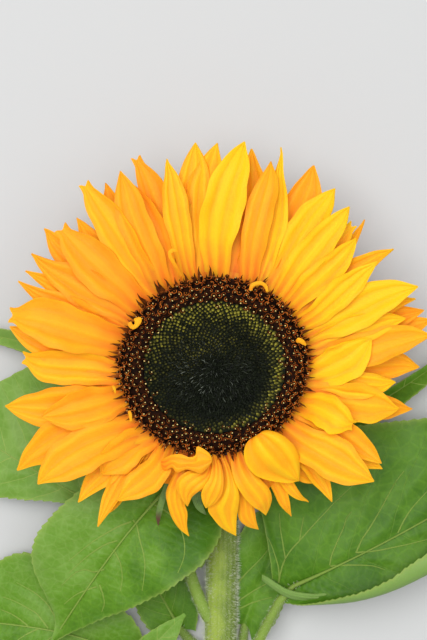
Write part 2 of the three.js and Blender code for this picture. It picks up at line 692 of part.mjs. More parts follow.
const flower = new THREE.Group();
addPiece(flower, "stem", makeStem(), "stem");
addPiece(flower, "receptacle", makeReceptacle(), "receptacle");
addPiece(flower, "ray_petals", makePetals(), "petal");
addPiece(flower, "disc_florets", makeDiscFlorets(), "floret");
addPiece(flower, "disc_buds", makeDiscBuds(), "bud");
const stemClearance = stemSolid(SEAT_GAP);
Object.entries(LEAVES).forEach(([name, leaf], number) => {
  addPiece(flower, name, makeLeaf(leaf, number, stemClearance), "leaf");
});

// The origin goes to the centre of the bottom of the bounding box.
const box = new THREE.Box3().setFromObject(flower);
const middle = box.getCenter(new THREE.Vector3());
flower.position.set(-middle.x, -middle.y, -box.min.z);

const sunflower = new THREE.Group();
sunflower.add(flower);

export default sunflower;
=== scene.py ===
# %% [markdown]
# # A cut sunflower
# The real thing is one flower, cut from its plant and laid on its back. Its stem lies on the
# table, bends up at the neck and carries a bloom that faces the ceiling.
# The solids of the flower are already measured and fixed. This lesson dresses them: it gives each
# solid a finer piece of the same form and size, with the veins, ribs, hairs and colours of the
# living plant. A finer piece takes a solid's place only where it keeps the solid's shape.

import math

import bpy
import numpy as np
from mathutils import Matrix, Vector


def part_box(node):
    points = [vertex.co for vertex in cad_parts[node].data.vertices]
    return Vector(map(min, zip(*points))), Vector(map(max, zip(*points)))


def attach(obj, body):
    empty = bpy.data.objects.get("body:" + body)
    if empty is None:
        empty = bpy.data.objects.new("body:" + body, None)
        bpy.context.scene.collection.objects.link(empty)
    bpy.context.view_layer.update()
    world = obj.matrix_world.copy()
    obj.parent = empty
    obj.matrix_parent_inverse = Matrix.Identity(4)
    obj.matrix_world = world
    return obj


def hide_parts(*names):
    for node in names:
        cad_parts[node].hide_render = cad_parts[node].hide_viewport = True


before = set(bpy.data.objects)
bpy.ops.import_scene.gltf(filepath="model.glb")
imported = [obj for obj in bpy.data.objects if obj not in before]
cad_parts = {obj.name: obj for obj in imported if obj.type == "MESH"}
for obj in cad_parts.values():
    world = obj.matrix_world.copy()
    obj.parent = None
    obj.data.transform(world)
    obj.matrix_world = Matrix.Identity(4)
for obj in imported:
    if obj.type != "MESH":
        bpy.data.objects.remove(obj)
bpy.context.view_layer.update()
bpy.ops.object.select_all(action="DESELECT")

# %% [markdown]
# ## Where the bloom is
# The buds in the middle of the disc are round, so the middle of their box is the axis of the
# bloom, and their underside lies a known step above the ring that the petals grow from.
# Everything below is laid out in millimetres about that axis, because petals and leaves are
# easiest to think of that way, and is turned into metres in the frame at the last moment.

# %% The axis of the bloom, and millimetres about it
MM = 0.001
SEAT_RISE = 1.75  # the disc's underside, above the ring of petals
buds_low, buds_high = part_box("disc_buds")
AXIS = np.array([(buds_low[0] + buds_high[0]) / 2, (buds_low[1] + buds_high[1]) / 2, 0.0])
HEAD_Z = buds_low[2] / MM - SEAT_RISE


def in_frame(points):
    """Millimetres about the bloom's axis, turned into metres in the frame."""
    return np.asarray(points, float) * MM + AXIS


def bloom_point(angle, radius, z):
    """A point of the bloom, or many: clockwise degrees from the top, radius and height."""
    turn = np.radians(angle)
    return np.array(np.broadcast_arrays(radius * np.sin(turn), radius * np.cos(turn), z)).T


print("axis of the bloom:", AXIS, "ring of petals at", round(HEAD_Z, 2), "mm")

# %% [markdown]
# ## The camera
# The photograph looks straight into the face of the bloom. This bloom faces up, so the camera
# hangs above it and looks down, with the stem towards the bottom of the picture. A long lens, as
# for a portrait, keeps the leaves near the table about as large as the petals near the camera.

# %% Hang the camera over the bloom
PICTURE_HEIGHT = 230.4  # of the flower, at the height of the disc
LENS = 85.0
SENSOR = 36.0
VIEW_CENTRE = (-0.5, 16.9)  # the middle of the picture, beside the bloom's axis
DISC_TOP = HEAD_Z + 4.0
FARTHEST_SEEN = 20  # metres

bpy.ops.object.camera_add(rotation=(0, 0, 0))
camera = bpy.context.object
camera.name = "portrait_camera"
camera.data.lens = LENS
camera.data.sensor_width = SENSOR
camera.data.clip_end = FARTHEST_SEEN
distance = PICTURE_HEIGHT * LENS / SENSOR
camera.location = in_frame([*VIEW_CENTRE, DISC_TOP + distance])
bpy.context.scene.camera = camera
print("the camera hangs", round(distance), "mm above the disc")

# %% [markdown]
# ## Floor and light
# A plain pale floor and soft light keep the eye on the flower. The key lamp hangs close to the
# camera, a little to the upper left, so most of the flower's shadow hides behind the flower and the
# left side of the stem is the lighter one. A weaker lamp on the right fills the shadows, and a pale
# sky does the rest. The view is set to plain sRGB, because a filmic view would wash out a yellow as
# pure as a sunflower's.

# %% Lay the floor
FLOOR_SIZE = 8.0
FLOOR_DROP = 0.0002  # keeps the floor clear of what lies on it
bpy.ops.mesh.primitive_plane_add(size=FLOOR_SIZE, location=(0, 0, -FLOOR_DROP))
floor = bpy.context.object
floor.name = "floor"
floor_paint = bpy.data.materials.new("pale_floor")
floor_paint.use_nodes = True
floor_shader = floor_paint.node_tree.nodes["Principled BSDF"]
floor_shader.inputs["Base Color"].default_value = (0.545, 0.55, 0.55, 1)
floor_shader.inputs["Roughness"].default_value = 0.9
floor.data.materials.append(floor_paint)
print("the floor is", FLOOR_SIZE, "m wide")

# %% Hang the lamps
BLOOM_MIDDLE = in_frame([0, 0, 20])


def hang_lamp(name, offset, size, watts, tint):
    """A square lamp that looks at the bloom from an offset in metres."""
    bpy.ops.object.light_add(type="AREA", location=BLOOM_MIDDLE + np.array(offset))
    lamp = bpy.context.object
    lamp.name = name
    lamp.data.size = size
    lamp.data.energy = watts
    lamp.data.color = tint
    towards = Vector(BLOOM_MIDDLE) - lamp.location
    lamp.rotation_euler = towards.to_track_quat("-Z", "Y").to_euler()
    print(name, "gives", watts, "W")


hang_lamp("key_lamp", (-0.3, 0.28, 1.5), 1.2, 23.7, (1.0, 0.995, 0.985))
hang_lamp("fill_lamp", (0.6, -0.1, 1.45), 0.9, 3.5, (0.98, 0.99, 1.0))
sky = bpy.context.scene.world or bpy.data.worlds.new("sky")
bpy.context.scene.world = sky
sky.use_nodes = True
sky.node_tree.nodes["Background"].inputs["Color"].default_value = (0.98, 0.985, 1.0, 1)
sky.node_tree.nodes["Background"].inputs["Strength"].default_value = 0.46
bpy.context.scene.view_settings.view_transform = "Standard"

# %% [markdown]
# ## Tools for growing things
# Petals, bracts and leaves are all blades: thin sheets that are bent along a rib and across it.
# Blender's own bend tools turn a sheet one way at a time, and these turn three ways at once, so a
# grid primitive is added and each of its points is moved to its place on the blade. The Solidify
# modifier then gives the sheet its thickness, as it would by hand. No two blades may look alike,
# so each has a number, and a repeatable draw turns that number into small differences.


# %% Draws and curves
def draw(number, salt):
    """A repeatable draw between -1 and 1 for the thing with this number."""
    wave = math.sin(number * 12.9898 + salt * 78.233) * 43758.5453
    return 2 * (wave - math.floor(wave)) - 1


def draws(numbers, salt):
    """One draw for each number."""
    return np.array([draw(number, salt) for number in numbers])


def mix(a, b, share):
    return a + (b - a) * share


def smooth_step(x, low, high):
    share = np.clip((np.asarray(x, float) - low) / (high - low), 0, 1)
    return share * share * (3 - 2 * share)


def unit(vectors):
    return vectors / np.linalg.norm(vectors, axis=-1, keepdims=True)


def bezier(controls, t):
    """Points and directions along a cubic curve at each share of its parameter."""
    a, b, c, d = (np.asarray(p, float) for p in controls)
    t = np.asarray(t, float)[:, None]
    u = 1 - t
    points = u**3 * a + 3 * u * u * t * b + 3 * u * t * t * c + t**3 * d
    along = u * u * (b - a) + 2 * u * t * (c - b) + t * t * (d - c)
    return points, unit(along)


def smooth_line(values, t):
    """A smooth line through evenly spaced values, read at t from 0 to 1."""
    values = np.asarray(values, float)
    last = len(values) - 1
    i = np.minimum(last - 1, np.floor(t * last).astype(int))
    u = (t * last - i).reshape(-1, *[1] * (values.ndim - 1))
    a, b, c, d = (values[np.clip(i + n, 0, last)] for n in (-1, 0, 1, 2))
    bend = 2 * a - 5 * b + 4 * c - d + u * (3 * (b - c) + d - a)
    return b + 0.5 * u * (c - a + u * bend)


print("the first draws:", draws(range(3), 1))


# %% The points of a mesh, and the values that they carry
def get_points(mesh):
    flat = np.empty(len(mesh.vertices) * 3)
    mesh.vertices.foreach_get("co", flat)
    return flat.reshape(-1, 3)


def set_points(mesh, points):
    mesh.vertices.foreach_set("co", np.asarray(points, np.float32).ravel())
    mesh.update()


def set_value(mesh, name, values):
    """A number for each point of a mesh, or one for them all, for its material to read."""
    layer = mesh.attributes.get(name) or mesh.attributes.new(name, "FLOAT", "POINT")
    layer.data.foreach_set("value", np.full(len(mesh.vertices), values, np.float32))


# %% Blank grids to bend into blades
def blank_grid(columns, rows):
    """A grid primitive, with its points as s across (-1 to 1) and t along (0 to 1)."""
    bpy.ops.mesh.primitive_grid_add(x_subdivisions=columns, y_subdivisions=rows, size=2)
    grid = bpy.context.object
    points = get_points(grid.data)
    return grid, points[:, 0], (points[:, 1] + 1) / 2


def grow_blade(blank, points, **values):
    """A copy of a blank grid, with a mesh of its own, at these points and with these values."""
    blade = blank.copy()
    blade.data = blank.data.copy()
    bpy.context.collection.objects.link(blade)
    set_points(blade.data, in_frame(points))
    for name, value in values.items():
        set_value(blade.data, name, value)
    return blade


# %% Join, thicken, smooth and finish
def select_only(*objects):
    bpy.ops.object.select_all(action="DESELECT")
    for each in objects:
        each.select_set(True)
    bpy.context.view_layer.objects.active = objects[0]


def join(name, objects):
    """Joins objects into the first of them."""
    select_only(*objects)
    bpy.ops.object.join()
    joined = bpy.context.object
    joined.name = name
    joined.data.name = name
    return joined


def thicken(sheet, thickness):
    """Gives a sheet its thickness, half of it on each side."""
    select_only(sheet)
    skin = sheet.modifiers.new("thickness", "SOLIDIFY")
    skin.thickness = thickness * MM
    skin.offset = 0
    bpy.ops.object.modifier_apply(modifier=skin.name)


def smooth(piece, degrees=60):
    select_only(piece)
    bpy.ops.object.shade_smooth_by_angle(angle=math.radians(degrees))


def finish_piece(piece, material, slot, *nodes):
    """Hands a finished piece its material, its body and the solids that it stands for."""
    piece.data.materials.clear()
    piece.data.materials.append(material)
    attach(piece, "root")
    if nodes:
        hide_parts(*nodes)
    triangles = sum(len(face.vertices) - 2 for face in piece.data.polygons)
    print(piece.name, "has", triangles, "triangles")


# %% [markdown]
# ## Node groups that several finishes share
# Living tissue is never one flat colour. Three effects come back on nearly every piece here, so
# each is built once as a node group: mottle, which is the cloudy change of tone over a surface;
# ribs, which are the fine lines that run the length of petals, bracts and stems; and the veins of
# a leaf, which branch off the midrib and leave soft pillows between them.


# %% Helpers for node trees
class Tree:
    """A node tree with short ways to add nodes and links."""

    def __init__(self, tree):
        self.tree = tree

    def node(self, kind, **settings):
        made = self.tree.nodes.new(kind)
        for name, value in settings.items():
            setattr(made, name, value)
        return made

    def feed(self, socket, value):
        """Puts a number, a colour or another socket into a socket."""
        if isinstance(value, bpy.types.NodeSocket):
            self.tree.links.new(value, socket)
        else:
            socket.default_value = value

    def math(self, operation, *values, clamp=False):
        made = self.node("ShaderNodeMath", operation=operation, use_clamp=clamp)
        for socket, value in zip(made.inputs, values):
            self.feed(socket, value)
        return made.outputs[0]

    def times(self, first, second):
        return self.math("MULTIPLY", first, second)

    def times_plus(self, first, second, third):
        return self.math("MULTIPLY_ADD", first, second, third)

    def parts(self, vector):
        """The X, Y and Z of a vector."""
        made = self.node("ShaderNodeSeparateXYZ")
        self.feed(made.inputs[0], vector)
        return list(made.outputs)

    def vector(self, *parts):
        made = self.node("ShaderNodeCombineXYZ")
        for socket, part in zip(made.inputs, parts):
            self.feed(socket, part)
        return made.outputs[0]

    def blend(self, share, first, second):
        """Mixes two colours."""
        made = self.node("ShaderNodeMix", data_type="RGBA")
        self.feed(made.inputs["Factor"], share)
        self.feed(made.inputs["A"], first)
        self.feed(made.inputs["B"], second)
        return made.outputs["Result"]

    def ramp(self, value, *stops):
        """A colour ramp through (position, colour) stops."""
        made = self.node("ShaderNodeValToRGB")
        elements = made.color_ramp.elements
        while len(elements) < len(stops):
            elements.new(0.5)
        for element, (position, colour) in zip(elements, stops):
            element.position = position
            element.color = colour
        self.feed(made.inputs["Fac"], value)
        return made.outputs["Color"]

    def step(self, value, low, high):
        """0 below low, 1 above high, and a soft step between them."""
        made = self.node("ShaderNodeMapRange", interpolation_type="SMOOTHSTEP")
        self.feed(made.inputs["Value"], value)
        self.feed(made.inputs["From Min"], low)
        self.feed(made.inputs["From Max"], high)
        return made.outputs["Result"]

    def value(self, name):
        """A number that the mesh carries on its points."""
        return self.node("ShaderNodeAttribute", attribute_name=name).outputs["Fac"]

    def noise(self, where, scale, detail):
        made = self.node("ShaderNodeTexNoise")
        self.feed(made.inputs["Vector"], where)
        self.feed(made.inputs["Scale"], scale)
        self.feed(made.inputs["Detail"], detail)
        return made.outputs["Fac"]

    def group(self, shared, **values):
        made = self.node("ShaderNodeGroup", node_tree=shared)
        for name, value in values.items():
            self.feed(made.inputs[name], value)
        return made.outputs

    def bump(self, height, distance, strength):
        """A normal for a relief whose height is in shares of this distance in millimetres."""
        made = self.node("ShaderNodeBump")
        self.feed(made.inputs["Height"], height)
        made.inputs["Distance"].default_value = distance * MM
        made.inputs["Strength"].default_value = strength
        return made.outputs["Normal"]


def new_group(name, inputs, outputs):
    """An empty node group. inputs maps names to default values."""
    shared = bpy.data.node_groups.new(name, "ShaderNodeTree")
    for socket_name, value in inputs.items():
        kind = "NodeSocketVector" if isinstance(value, tuple) else "NodeSocketFloat"
        made = shared.interface.new_socket(socket_name, in_out="INPUT", socket_type=kind)
        made.default_value = value
    for socket_name in outputs:
        shared.interface.new_socket(socket_name, in_out="OUTPUT", socket_type="NodeSocketFloat")
    tree = Tree(shared)
    entry = tree.node("NodeGroupInput").outputs
    return tree, [entry[each] for each in inputs], tree.node("NodeGroupOutput").inputs


# %% The mottle group: cloudy changes of tone
mottle, (where, size), outputs = new_group("mottle", {"Where": (0, 0, 0), "Size": 5.0}, ["Cloud"])
scale = mottle.math("DIVIDE", 1.0 / MM, size)
broad = mottle.noise(where, scale, 2.0)
fine = mottle.noise(where, mottle.times(scale, 4.3), 4.0)
cloud = mottle.math("ADD", mottle.times(broad, 0.65), mottle.times(fine, 0.35))
mottle.feed(outputs["Cloud"], mottle.step(cloud, 0.36, 0.64))
MOTTLE = mottle.tree


def new_material(name, cloud_size):
    """A material, its tree, the sockets of its shader, its coordinates and its mottle."""
    material = bpy.data.materials.new(name)
    material.use_nodes = True
    tree = Tree(material.node_tree)
    shader = material.node_tree.nodes["Principled BSDF"].inputs
    where = tree.node("ShaderNodeTexCoord").outputs
    cloud = tree.group(MOTTLE, Where=where["Object"], Size=cloud_size)["Cloud"]
    print("material", name, "with clouds of", cloud_size, "mm")
    return material, tree, shader, where, cloud


# %% The rib group: fine lines that run the length of a piece
inputs = {"Where": (0, 0, 0), "Count": 9.0}
ribs, (where, count), outputs = new_group("ribs", inputs, ["Rib", "Fleck"])
x, y, z = ribs.parts(where)
drift = ribs.noise(ribs.vector(ribs.times(x, 4.0), ribs.times(y, 0.7), z), 1.6, 2.0)
across = ribs.math("ADD", x, ribs.times(drift, 0.10))
wave = ribs.math("SINE", ribs.times(ribs.times(across, count), 2 * math.pi))
ribs.feed(outputs["Rib"], ribs.times_plus(wave, 0.5, 0.5))
stretched = ribs.vector(ribs.times(x, 46.0), ribs.times(y, 3.0), z)
ribs.feed(outputs["Fleck"], ribs.noise(stretched, 1.0, 3.0))
RIBS = ribs.tree

# %% [markdown]
# ## The veins of a leaf
# A sunflower leaf has a strong midrib. Side veins leave it in pairs and sweep towards the tip, and
# a fine net fills the rest. On a leaf laid flat, x across and y along, all the side veins are the
# same curve, y = start + lean * |x| + sweep * x * x, moved along the midrib. So one subtraction
# gives the start of the vein through any point, and the distance to the nearest whole vein is a
# saw wave of it. The same formula bends the mesh and paints it, so both agree.

# %% The vein formula, for the mesh and as a node group
VEIN_STEP = 0.15  # between side veins, as a share of the leaf's length
VEIN_LEAN = 0.85
VEIN_SWEEP = 1.3
VEIN_FIRST = 0.045


def vein_gap(x, y):
    """How far the nearest side vein is, from 0 on it to 0.5 half-way to the next."""
    start = y - VEIN_LEAN * np.abs(x) - VEIN_SWEEP * x * x - VEIN_FIRST
    turns = start / VEIN_STEP + 0.25 * (x > 0)
    return np.abs(turns - np.round(turns))


inputs = {"Where": (0, 0, 0)}
veins, (where,), outputs = new_group("leaf_veins", inputs, ["Vein", "Midrib", "Net"])
x, y, _ = veins.parts(where)
wander = veins.times_plus(veins.noise(where, 9.0, 2.0), 0.03, -0.015)
side = veins.math("ABSOLUTE", x)
lean = veins.times_plus(side, VEIN_LEAN, veins.times(veins.times(x, x), VEIN_SWEEP))
start = veins.math("SUBTRACT", veins.math("ADD", y, wander), veins.math("ADD", lean, VEIN_FIRST))
on_right = veins.math("GREATER_THAN", x, 0.0)
turns = veins.times_plus(on_right, 0.25, veins.math("DIVIDE", start, VEIN_STEP))
gap = veins.math("ABSOLUTE", veins.math("SUBTRACT", turns, veins.math("ROUND", turns)))
width = veins.math("MULTIPLY_ADD", side, -0.03, 0.021, clamp=True)
line = veins.math("SUBTRACT", 1.0, veins.step(gap, veins.times(width, 0.35), width))
veins.feed(outputs["Vein"], veins.times(line, veins.step(start, -0.03, 0.02)))
width = veins.times_plus(y, -0.0055, 0.0072)
midrib = veins.math("SUBTRACT", 1.0, veins.step(side, veins.times(width, 0.5), width))
veins.feed(outputs["Midrib"], midrib)
net = veins.node("ShaderNodeTexVoronoi", feature="DISTANCE_TO_EDGE")
veins.feed(net.inputs["Vector"], where)
veins.feed(net.inputs["Scale"], 26.0)
veins.feed(outputs["Net"], veins.step(net.outputs["Distance"], 0.0, 0.14))
VEINS = veins.tree
print("node groups:", [shared.name for shared in bpy.data.node_groups])

# %% [markdown]
# ## The finish of the petals
# A petal is satin, ribbed along its length, and thin enough for light to glow through. Its root is
# deep orange, partly its own colour and partly painted shade under the disc, and it is golden along
# the blade. Each petal carries its own number of tone and painted shade, so that the layers tell
# apart: the back layers are painted a deeper orange, as painted shade, and the front ones lemon, as
# painted light. Its folds are painted a deeper orange, as painted shade in the creases. The light
# that scatters inside it is left to the shader's subsurface.

# %% Petal material
petal_paint, tree, shader, where, cloud = new_material("petal_satin", 6.0)
_, lengthwise, _ = tree.parts(where["UV"])
petal_ribs = tree.group(RIBS, Where=where["UV"], Count=6.0)
# Deeper orange towards the root: partly the petal's own colour, partly painted shade under the
# disc. The tone number paints the back petals darker and the front ones paler, as painted shade and
# light.
glow = tree.times_plus(tree.step(lengthwise, 0.0, 0.4), 0.30, tree.times(tree.value("tone"), 0.62))
glow = tree.times_plus(cloud, 0.08, glow)
glow = tree.times_plus(petal_ribs["Rib"], 0.06, glow)
# Painted shade: the folds of each petal are painted a deeper orange, where shade falls in them.
glow = tree.times_plus(tree.value("crease"), -0.25, glow)
gold = tree.ramp(
    tree.math("ADD", glow, 0.11),
    (0.0, (0.87, 0.17, 0.006, 1)),
    (0.25, (0.93, 0.265, 0.010, 1)),
    (0.5, (0.95, 0.325, 0.013, 1)),
    (0.75, (0.96, 0.395, 0.012, 1)),
    (1.0, (0.96, 0.52, 0.010, 1)),
)
# Painted shade at the root: the creases near the disc are painted a deep orange-red.
claw = tree.math("SUBTRACT", 1.0, tree.step(lengthwise, 0.02, 0.36))
root_crease_shade = tree.times(tree.times(claw, tree.value("crease")), 0.8)
gold = tree.blend(root_crease_shade, gold, (0.84, 0.125, 0.012, 1))
streak = tree.times(tree.step(petal_ribs["Fleck"], 0.35, 0.75), 0.08)
tree.feed(shader["Base Color"], tree.blend(streak, gold, (0.95, 0.22, 0.01, 1)))
relief = tree.times_plus(petal_ribs["Rib"], 0.8, tree.times(petal_ribs["Fleck"], 0.5))
tree.feed(shader["Normal"], tree.bump(relief, 0.2, 0.4))
tree.feed(shader["Roughness"], tree.times_plus(petal_ribs["Fleck"], 0.2, 0.42))
shader["Subsurface Weight"].default_value = 0.25
shader["Subsurface Radius"].default_value = (1.0, 0.5, 0.08)
shader["Subsurface Scale"].default_value = 2.5 * MM
shader["Specular IOR Level"].default_value = 0.12

# %% [markdown]
# ## The ray petals
# Each petal is a floret of its own, rooted under the edge of the disc. The list below was read off
# the photograph petal by petal: the directions of its start, its middle and its tip in clockwise
# degrees from the top, how far the tip reaches, the blade's width, how blunt its tip is, and how
# bright a yellow it shows, which is its tone with painted shade on the back layers and painted
# light on the front ones. The layers stand one above the other: the back ones lie flat or droop,
# and the front ones arch up before they fall. Short wide petals under and between the others close
# the gaps at the roots, as the real ones do, and are painted a deep orange, as painted shade.


# %% The petals, layer by layer
def straight(tone, *petals):
    """Short wide petals that grow straight out, from their angle, reach and width."""
    return [[angle, angle, angle, reach, width, 2.2, tone] for angle, reach, width in petals]


# [start angle, middle angle, tip angle, reach, width, bluntness, tone and painted shade out of 100]
PETALS = {
    "under": straight(
        5,
        (20, 64, 14.5), (41, 64, 14.5), (62, 60, 13), (97, 58, 13), (116, 58, 13),
        (157, 48, 14.5), (185, 46, 13), (206, 47, 14.5), (235, 62, 14.5), (262, 53, 14.5),
        (289, 64, 14.5), (318, 64, 14.5), (350, 64, 14.5),
    ),
    "back": [
        [13, 12.5, 9.2, 80.5, 13, 2, 45], [27, 21.7, 18.1, 80.3, 7.5, 1.8, 40],
        [31, 29.1, 27.4, 81.6, 15.5, 2.4, 25], [54, 51.5, 44.8, 76.1, 7.5, 1.2, 45],
        [75, 74.6, 74.5, 78.7, 12.5, 2, 20], [79, 79, 78.8, 81, 12.5, 2.2, 30],
        [90, 90, 89.6, 74.8, 14, 2, 45], [107, 105.3, 101, 74, 11, 2.2, 30],
        [139, 139, 139, 57, 11, 2.4, 50], [149, 148, 146.4, 60.9, 4.5, 2.2, 60],
        [153, 152.7, 152.9, 62.5, 5, 2.2, 50], [172, 167.4, 164.8, 60, 9, 2, 45],
        [220, 218.2, 215.9, 68, 6, 2, 50], [297, 297, 296.2, 77.4, 10, 1.2, 36],
        [306, 306.8, 307.9, 80.3, 12.5, 2.2, 28], [314, 315.5, 316.8, 74.1, 10, 2, 34],
        [326, 327.4, 328.3, 77.9, 11, 2.2, 28], [339, 339.8, 340.1, 81.7, 11, 2.6, 20],
    ],
    "middle": [
        [356, 356, 360.9, 80.3, 13, 2.4, 60], [28, 24, 15.5, 81.6, 8, 1.1, 90],
        [35.7, 33.8, 34.8, 77.6, 14, 2.2, 95], [47.6, 45.6, 44.2, 72, 9.5, 3, 75],
        [58, 54.8, 56.2, 77.7, 8.5, 1.8, 60], [80, 75.7, 74.5, 71, 10.5, 2, 85],
        [71, 70, 70.2, 76.5, 9.5, 1.8, 60], [88, 83, 81.6, 79, 13, 2.2, 50],
        [97, 96.6, 96.3, 66, 10.5, 2.2, 80], [108, 105.2, 101.5, 68, 15, 2.2, 60],
        [117, 117.3, 120, 69.1, 10.5, 2.2, 50], [122.2, 122.2, 122.4, 70.7, 9.5, 2.2, 60],
        [134, 135.8, 138.8, 64.4, 7, 2.4, 60], [201, 194.5, 188.7, 61.7, 8.5, 1.9, 60],
        [224, 220.1, 216.6, 71.6, 7, 1.8, 50], [230, 227.4, 225.6, 69.3, 9.5, 2, 55],
        [242.5, 245.4, 243.4, 81.5, 15, 1.8, 45], [251, 254.5, 259.3, 77, 15, 2.4, 50],
        [265.4, 269.3, 271.8, 70.2, 13, 2.8, 60], [268, 275, 281, 75.5, 11.5, 2.4, 35],
        [290, 291.3, 293.1, 77.9, 10.5, 1.2, 28], [301.6, 301.4, 301.2, 77.9, 14, 1.3, 26],
        [331.6, 335, 336, 73, 10.5, 2.4, 25], [345, 350.9, 355.4, 80.9, 14, 2.4, 65],
    ],
    "front": [
        [1, 2.5, 7.9, 81.7, 15, 2.4, 95], [22, 17, 15.7, 77.1, 10.5, 2.4, 40],
        [42.5, 40.7, 40.2, 75, 11, 2.4, 90], [51, 50, 47.3, 69, 10.5, 2, 85],
        [64, 60.6, 56.5, 68.5, 10, 2, 95], [70.5, 67.6, 68.5, 77.9, 14.5, 2, 100],
        [97, 89.5, 79, 57, 14, 2.4, 100], [131.5, 129, 125.3, 69.6, 15.5, 2.2, 62],
        [165.4, 161.5, 161, 56.2, 12, 2.2, 60], [177, 175.6, 172.5, 61, 12, 2.2, 75],
        [211, 210.6, 216.8, 59, 11, 2.2, 50], [220.6, 226.6, 227.7, 56.4, 13, 2.4, 45],
        [229.7, 236.9, 235.9, 75.7, 16.5, 2.2, 45], [251, 252.5, 253.2, 64, 14.5, 2.2, 40],
        [282.8, 285, 283.6, 76.3, 16.5, 3, 40], [308, 310.1, 312.1, 74.7, 15, 2.6, 24],
        [322.2, 322.8, 324.6, 81.3, 12, 2.8, 55], [326.3, 330.2, 334.9, 78.1, 12, 2.4, 28],
        [344.2, 345.2, 348.3, 76.1, 9.5, 2.2, 68],
    ],
    "curled": [
        [114, 112, 113.7, 54, 12.5, 2.6, 85], [147.3, 144.2, 143, 51, 16, 2.6, 78],
        [179, 176.5, 183.7, 50.8, 6, 2.2, 60], [194, 199, 191, 51, 6, 2, 60],
        [181, 186.6, 190.8, 48, 5, 2, 45],
    ],
    "fill": straight(
        8,
        (8, 62, 14), (31, 62, 14), (52, 60, 14), (72, 58, 14), (84, 58, 14), (106, 56, 14),
        (127, 54, 14), (141, 48, 13), (170, 46, 13), (196, 45, 12), (220, 52, 13),
        (248, 55, 14), (276, 58, 14), (303, 62, 14), (333, 62, 14),
    ),
}
print("petals:", {layer: len(petals) for layer, petals in PETALS.items()})

# %% [markdown]
# ## Bending one petal
# The rib of a petal is a cubic curve, and each layer has its own four heights for it: at the start,
# where it rises, where it falls and at the tip. Across the rib the blade is cupped, leans a little
# to one side, and has two soft folds that run its length, as ray florets do. The margin ripples,
# the tip curls, and no two petals do so alike. The bluntest petals have a small notch in the tip.

# %% The outline and the rib of a petal
LAYER_HEIGHTS = {
    "under": (-0.8, -0.4, -2.4, -5),
    "back": (-0.7, 0.2, -1.5, -4.5),
    "middle": (-0.6, 2.6, 3, 0.5),
    "front": (-0.5, 4.6, 8.5, 5.5),
    "curled": (-0.5, 4.6, 18, 4),
    "fill": (-0.9, 0.3, -1.2, -4.5),
}
PETAL_START_RADIUS = 32.5
LONG_PETAL = 35  # shorter ones rise and fall less
ROOT_WIDTH = 0.64  # as a share of the full width
WIDEST_AT = 0.52
NOTCHED = 2.6  # petals at least this blunt have a notch in their tip
NOTCHED_TIP_WIDTH = 0.34
POINTED_TIP_WIDTH = 0.02


def petal_width_at(t, bluntness):
    """The width at each share of the length, as a share of the full width."""
    opening = mix(ROOT_WIDTH, 1, smooth_step(t, 0, WIDEST_AT))
    closing = 1 - np.clip((t - WIDEST_AT) / (1 - WIDEST_AT), 0, 1) ** bluntness
    tip = NOTCHED_TIP_WIDTH if bluntness >= NOTCHED else POINTED_TIP_WIDTH
    return np.where(t < WIDEST_AT, opening, np.maximum(tip, closing))


def petal_rib(petal, layer, number):
    """The four controls of a petal's cubic rib."""
    start_angle, middle_angle, tip_angle, reach = petal[:4]
    start, rise, fall, tip = LAYER_HEIGHTS[layer]
    length = reach - PETAL_START_RADIUS
    shortness = min(1, length / LONG_PETAL)
    swing = 1.6 * draw(number, 3)
    rise = rise * shortness**2 + 0.5 * swing * shortness
    fall = (fall + swing) * shortness
    pull = 2 * middle_angle - (start_angle + tip_angle) / 2
    near, far = PETAL_START_RADIUS + 0.33 * length, PETAL_START_RADIUS + 0.68 * length
    return [
        bloom_point(start_angle, PETAL_START_RADIUS, HEAD_Z + start),
        bloom_point(mix(start_angle, pull, 0.67), near, HEAD_Z + rise),
        bloom_point(mix(tip_angle, pull, 0.67), far, HEAD_Z + fall),
        bloom_point(tip_angle, reach, HEAD_Z + tip + 1.5 * swing),
    ]


print("a petal's width from root to tip:", petal_width_at(np.linspace(0, 1, 5), 2.2).round(2))


# %% Bend a blank grid into a petal
def fold_wave(s, number):
    """The soft folds across a petal: 1 on a ridge and -1 in a crease."""
    folds = 1.3 + 0.35 * draw(number, 6)
    return np.cos(2 * np.pi * (folds * s + 0.2 * draw(number, 10)) + 0.8 * s * s)


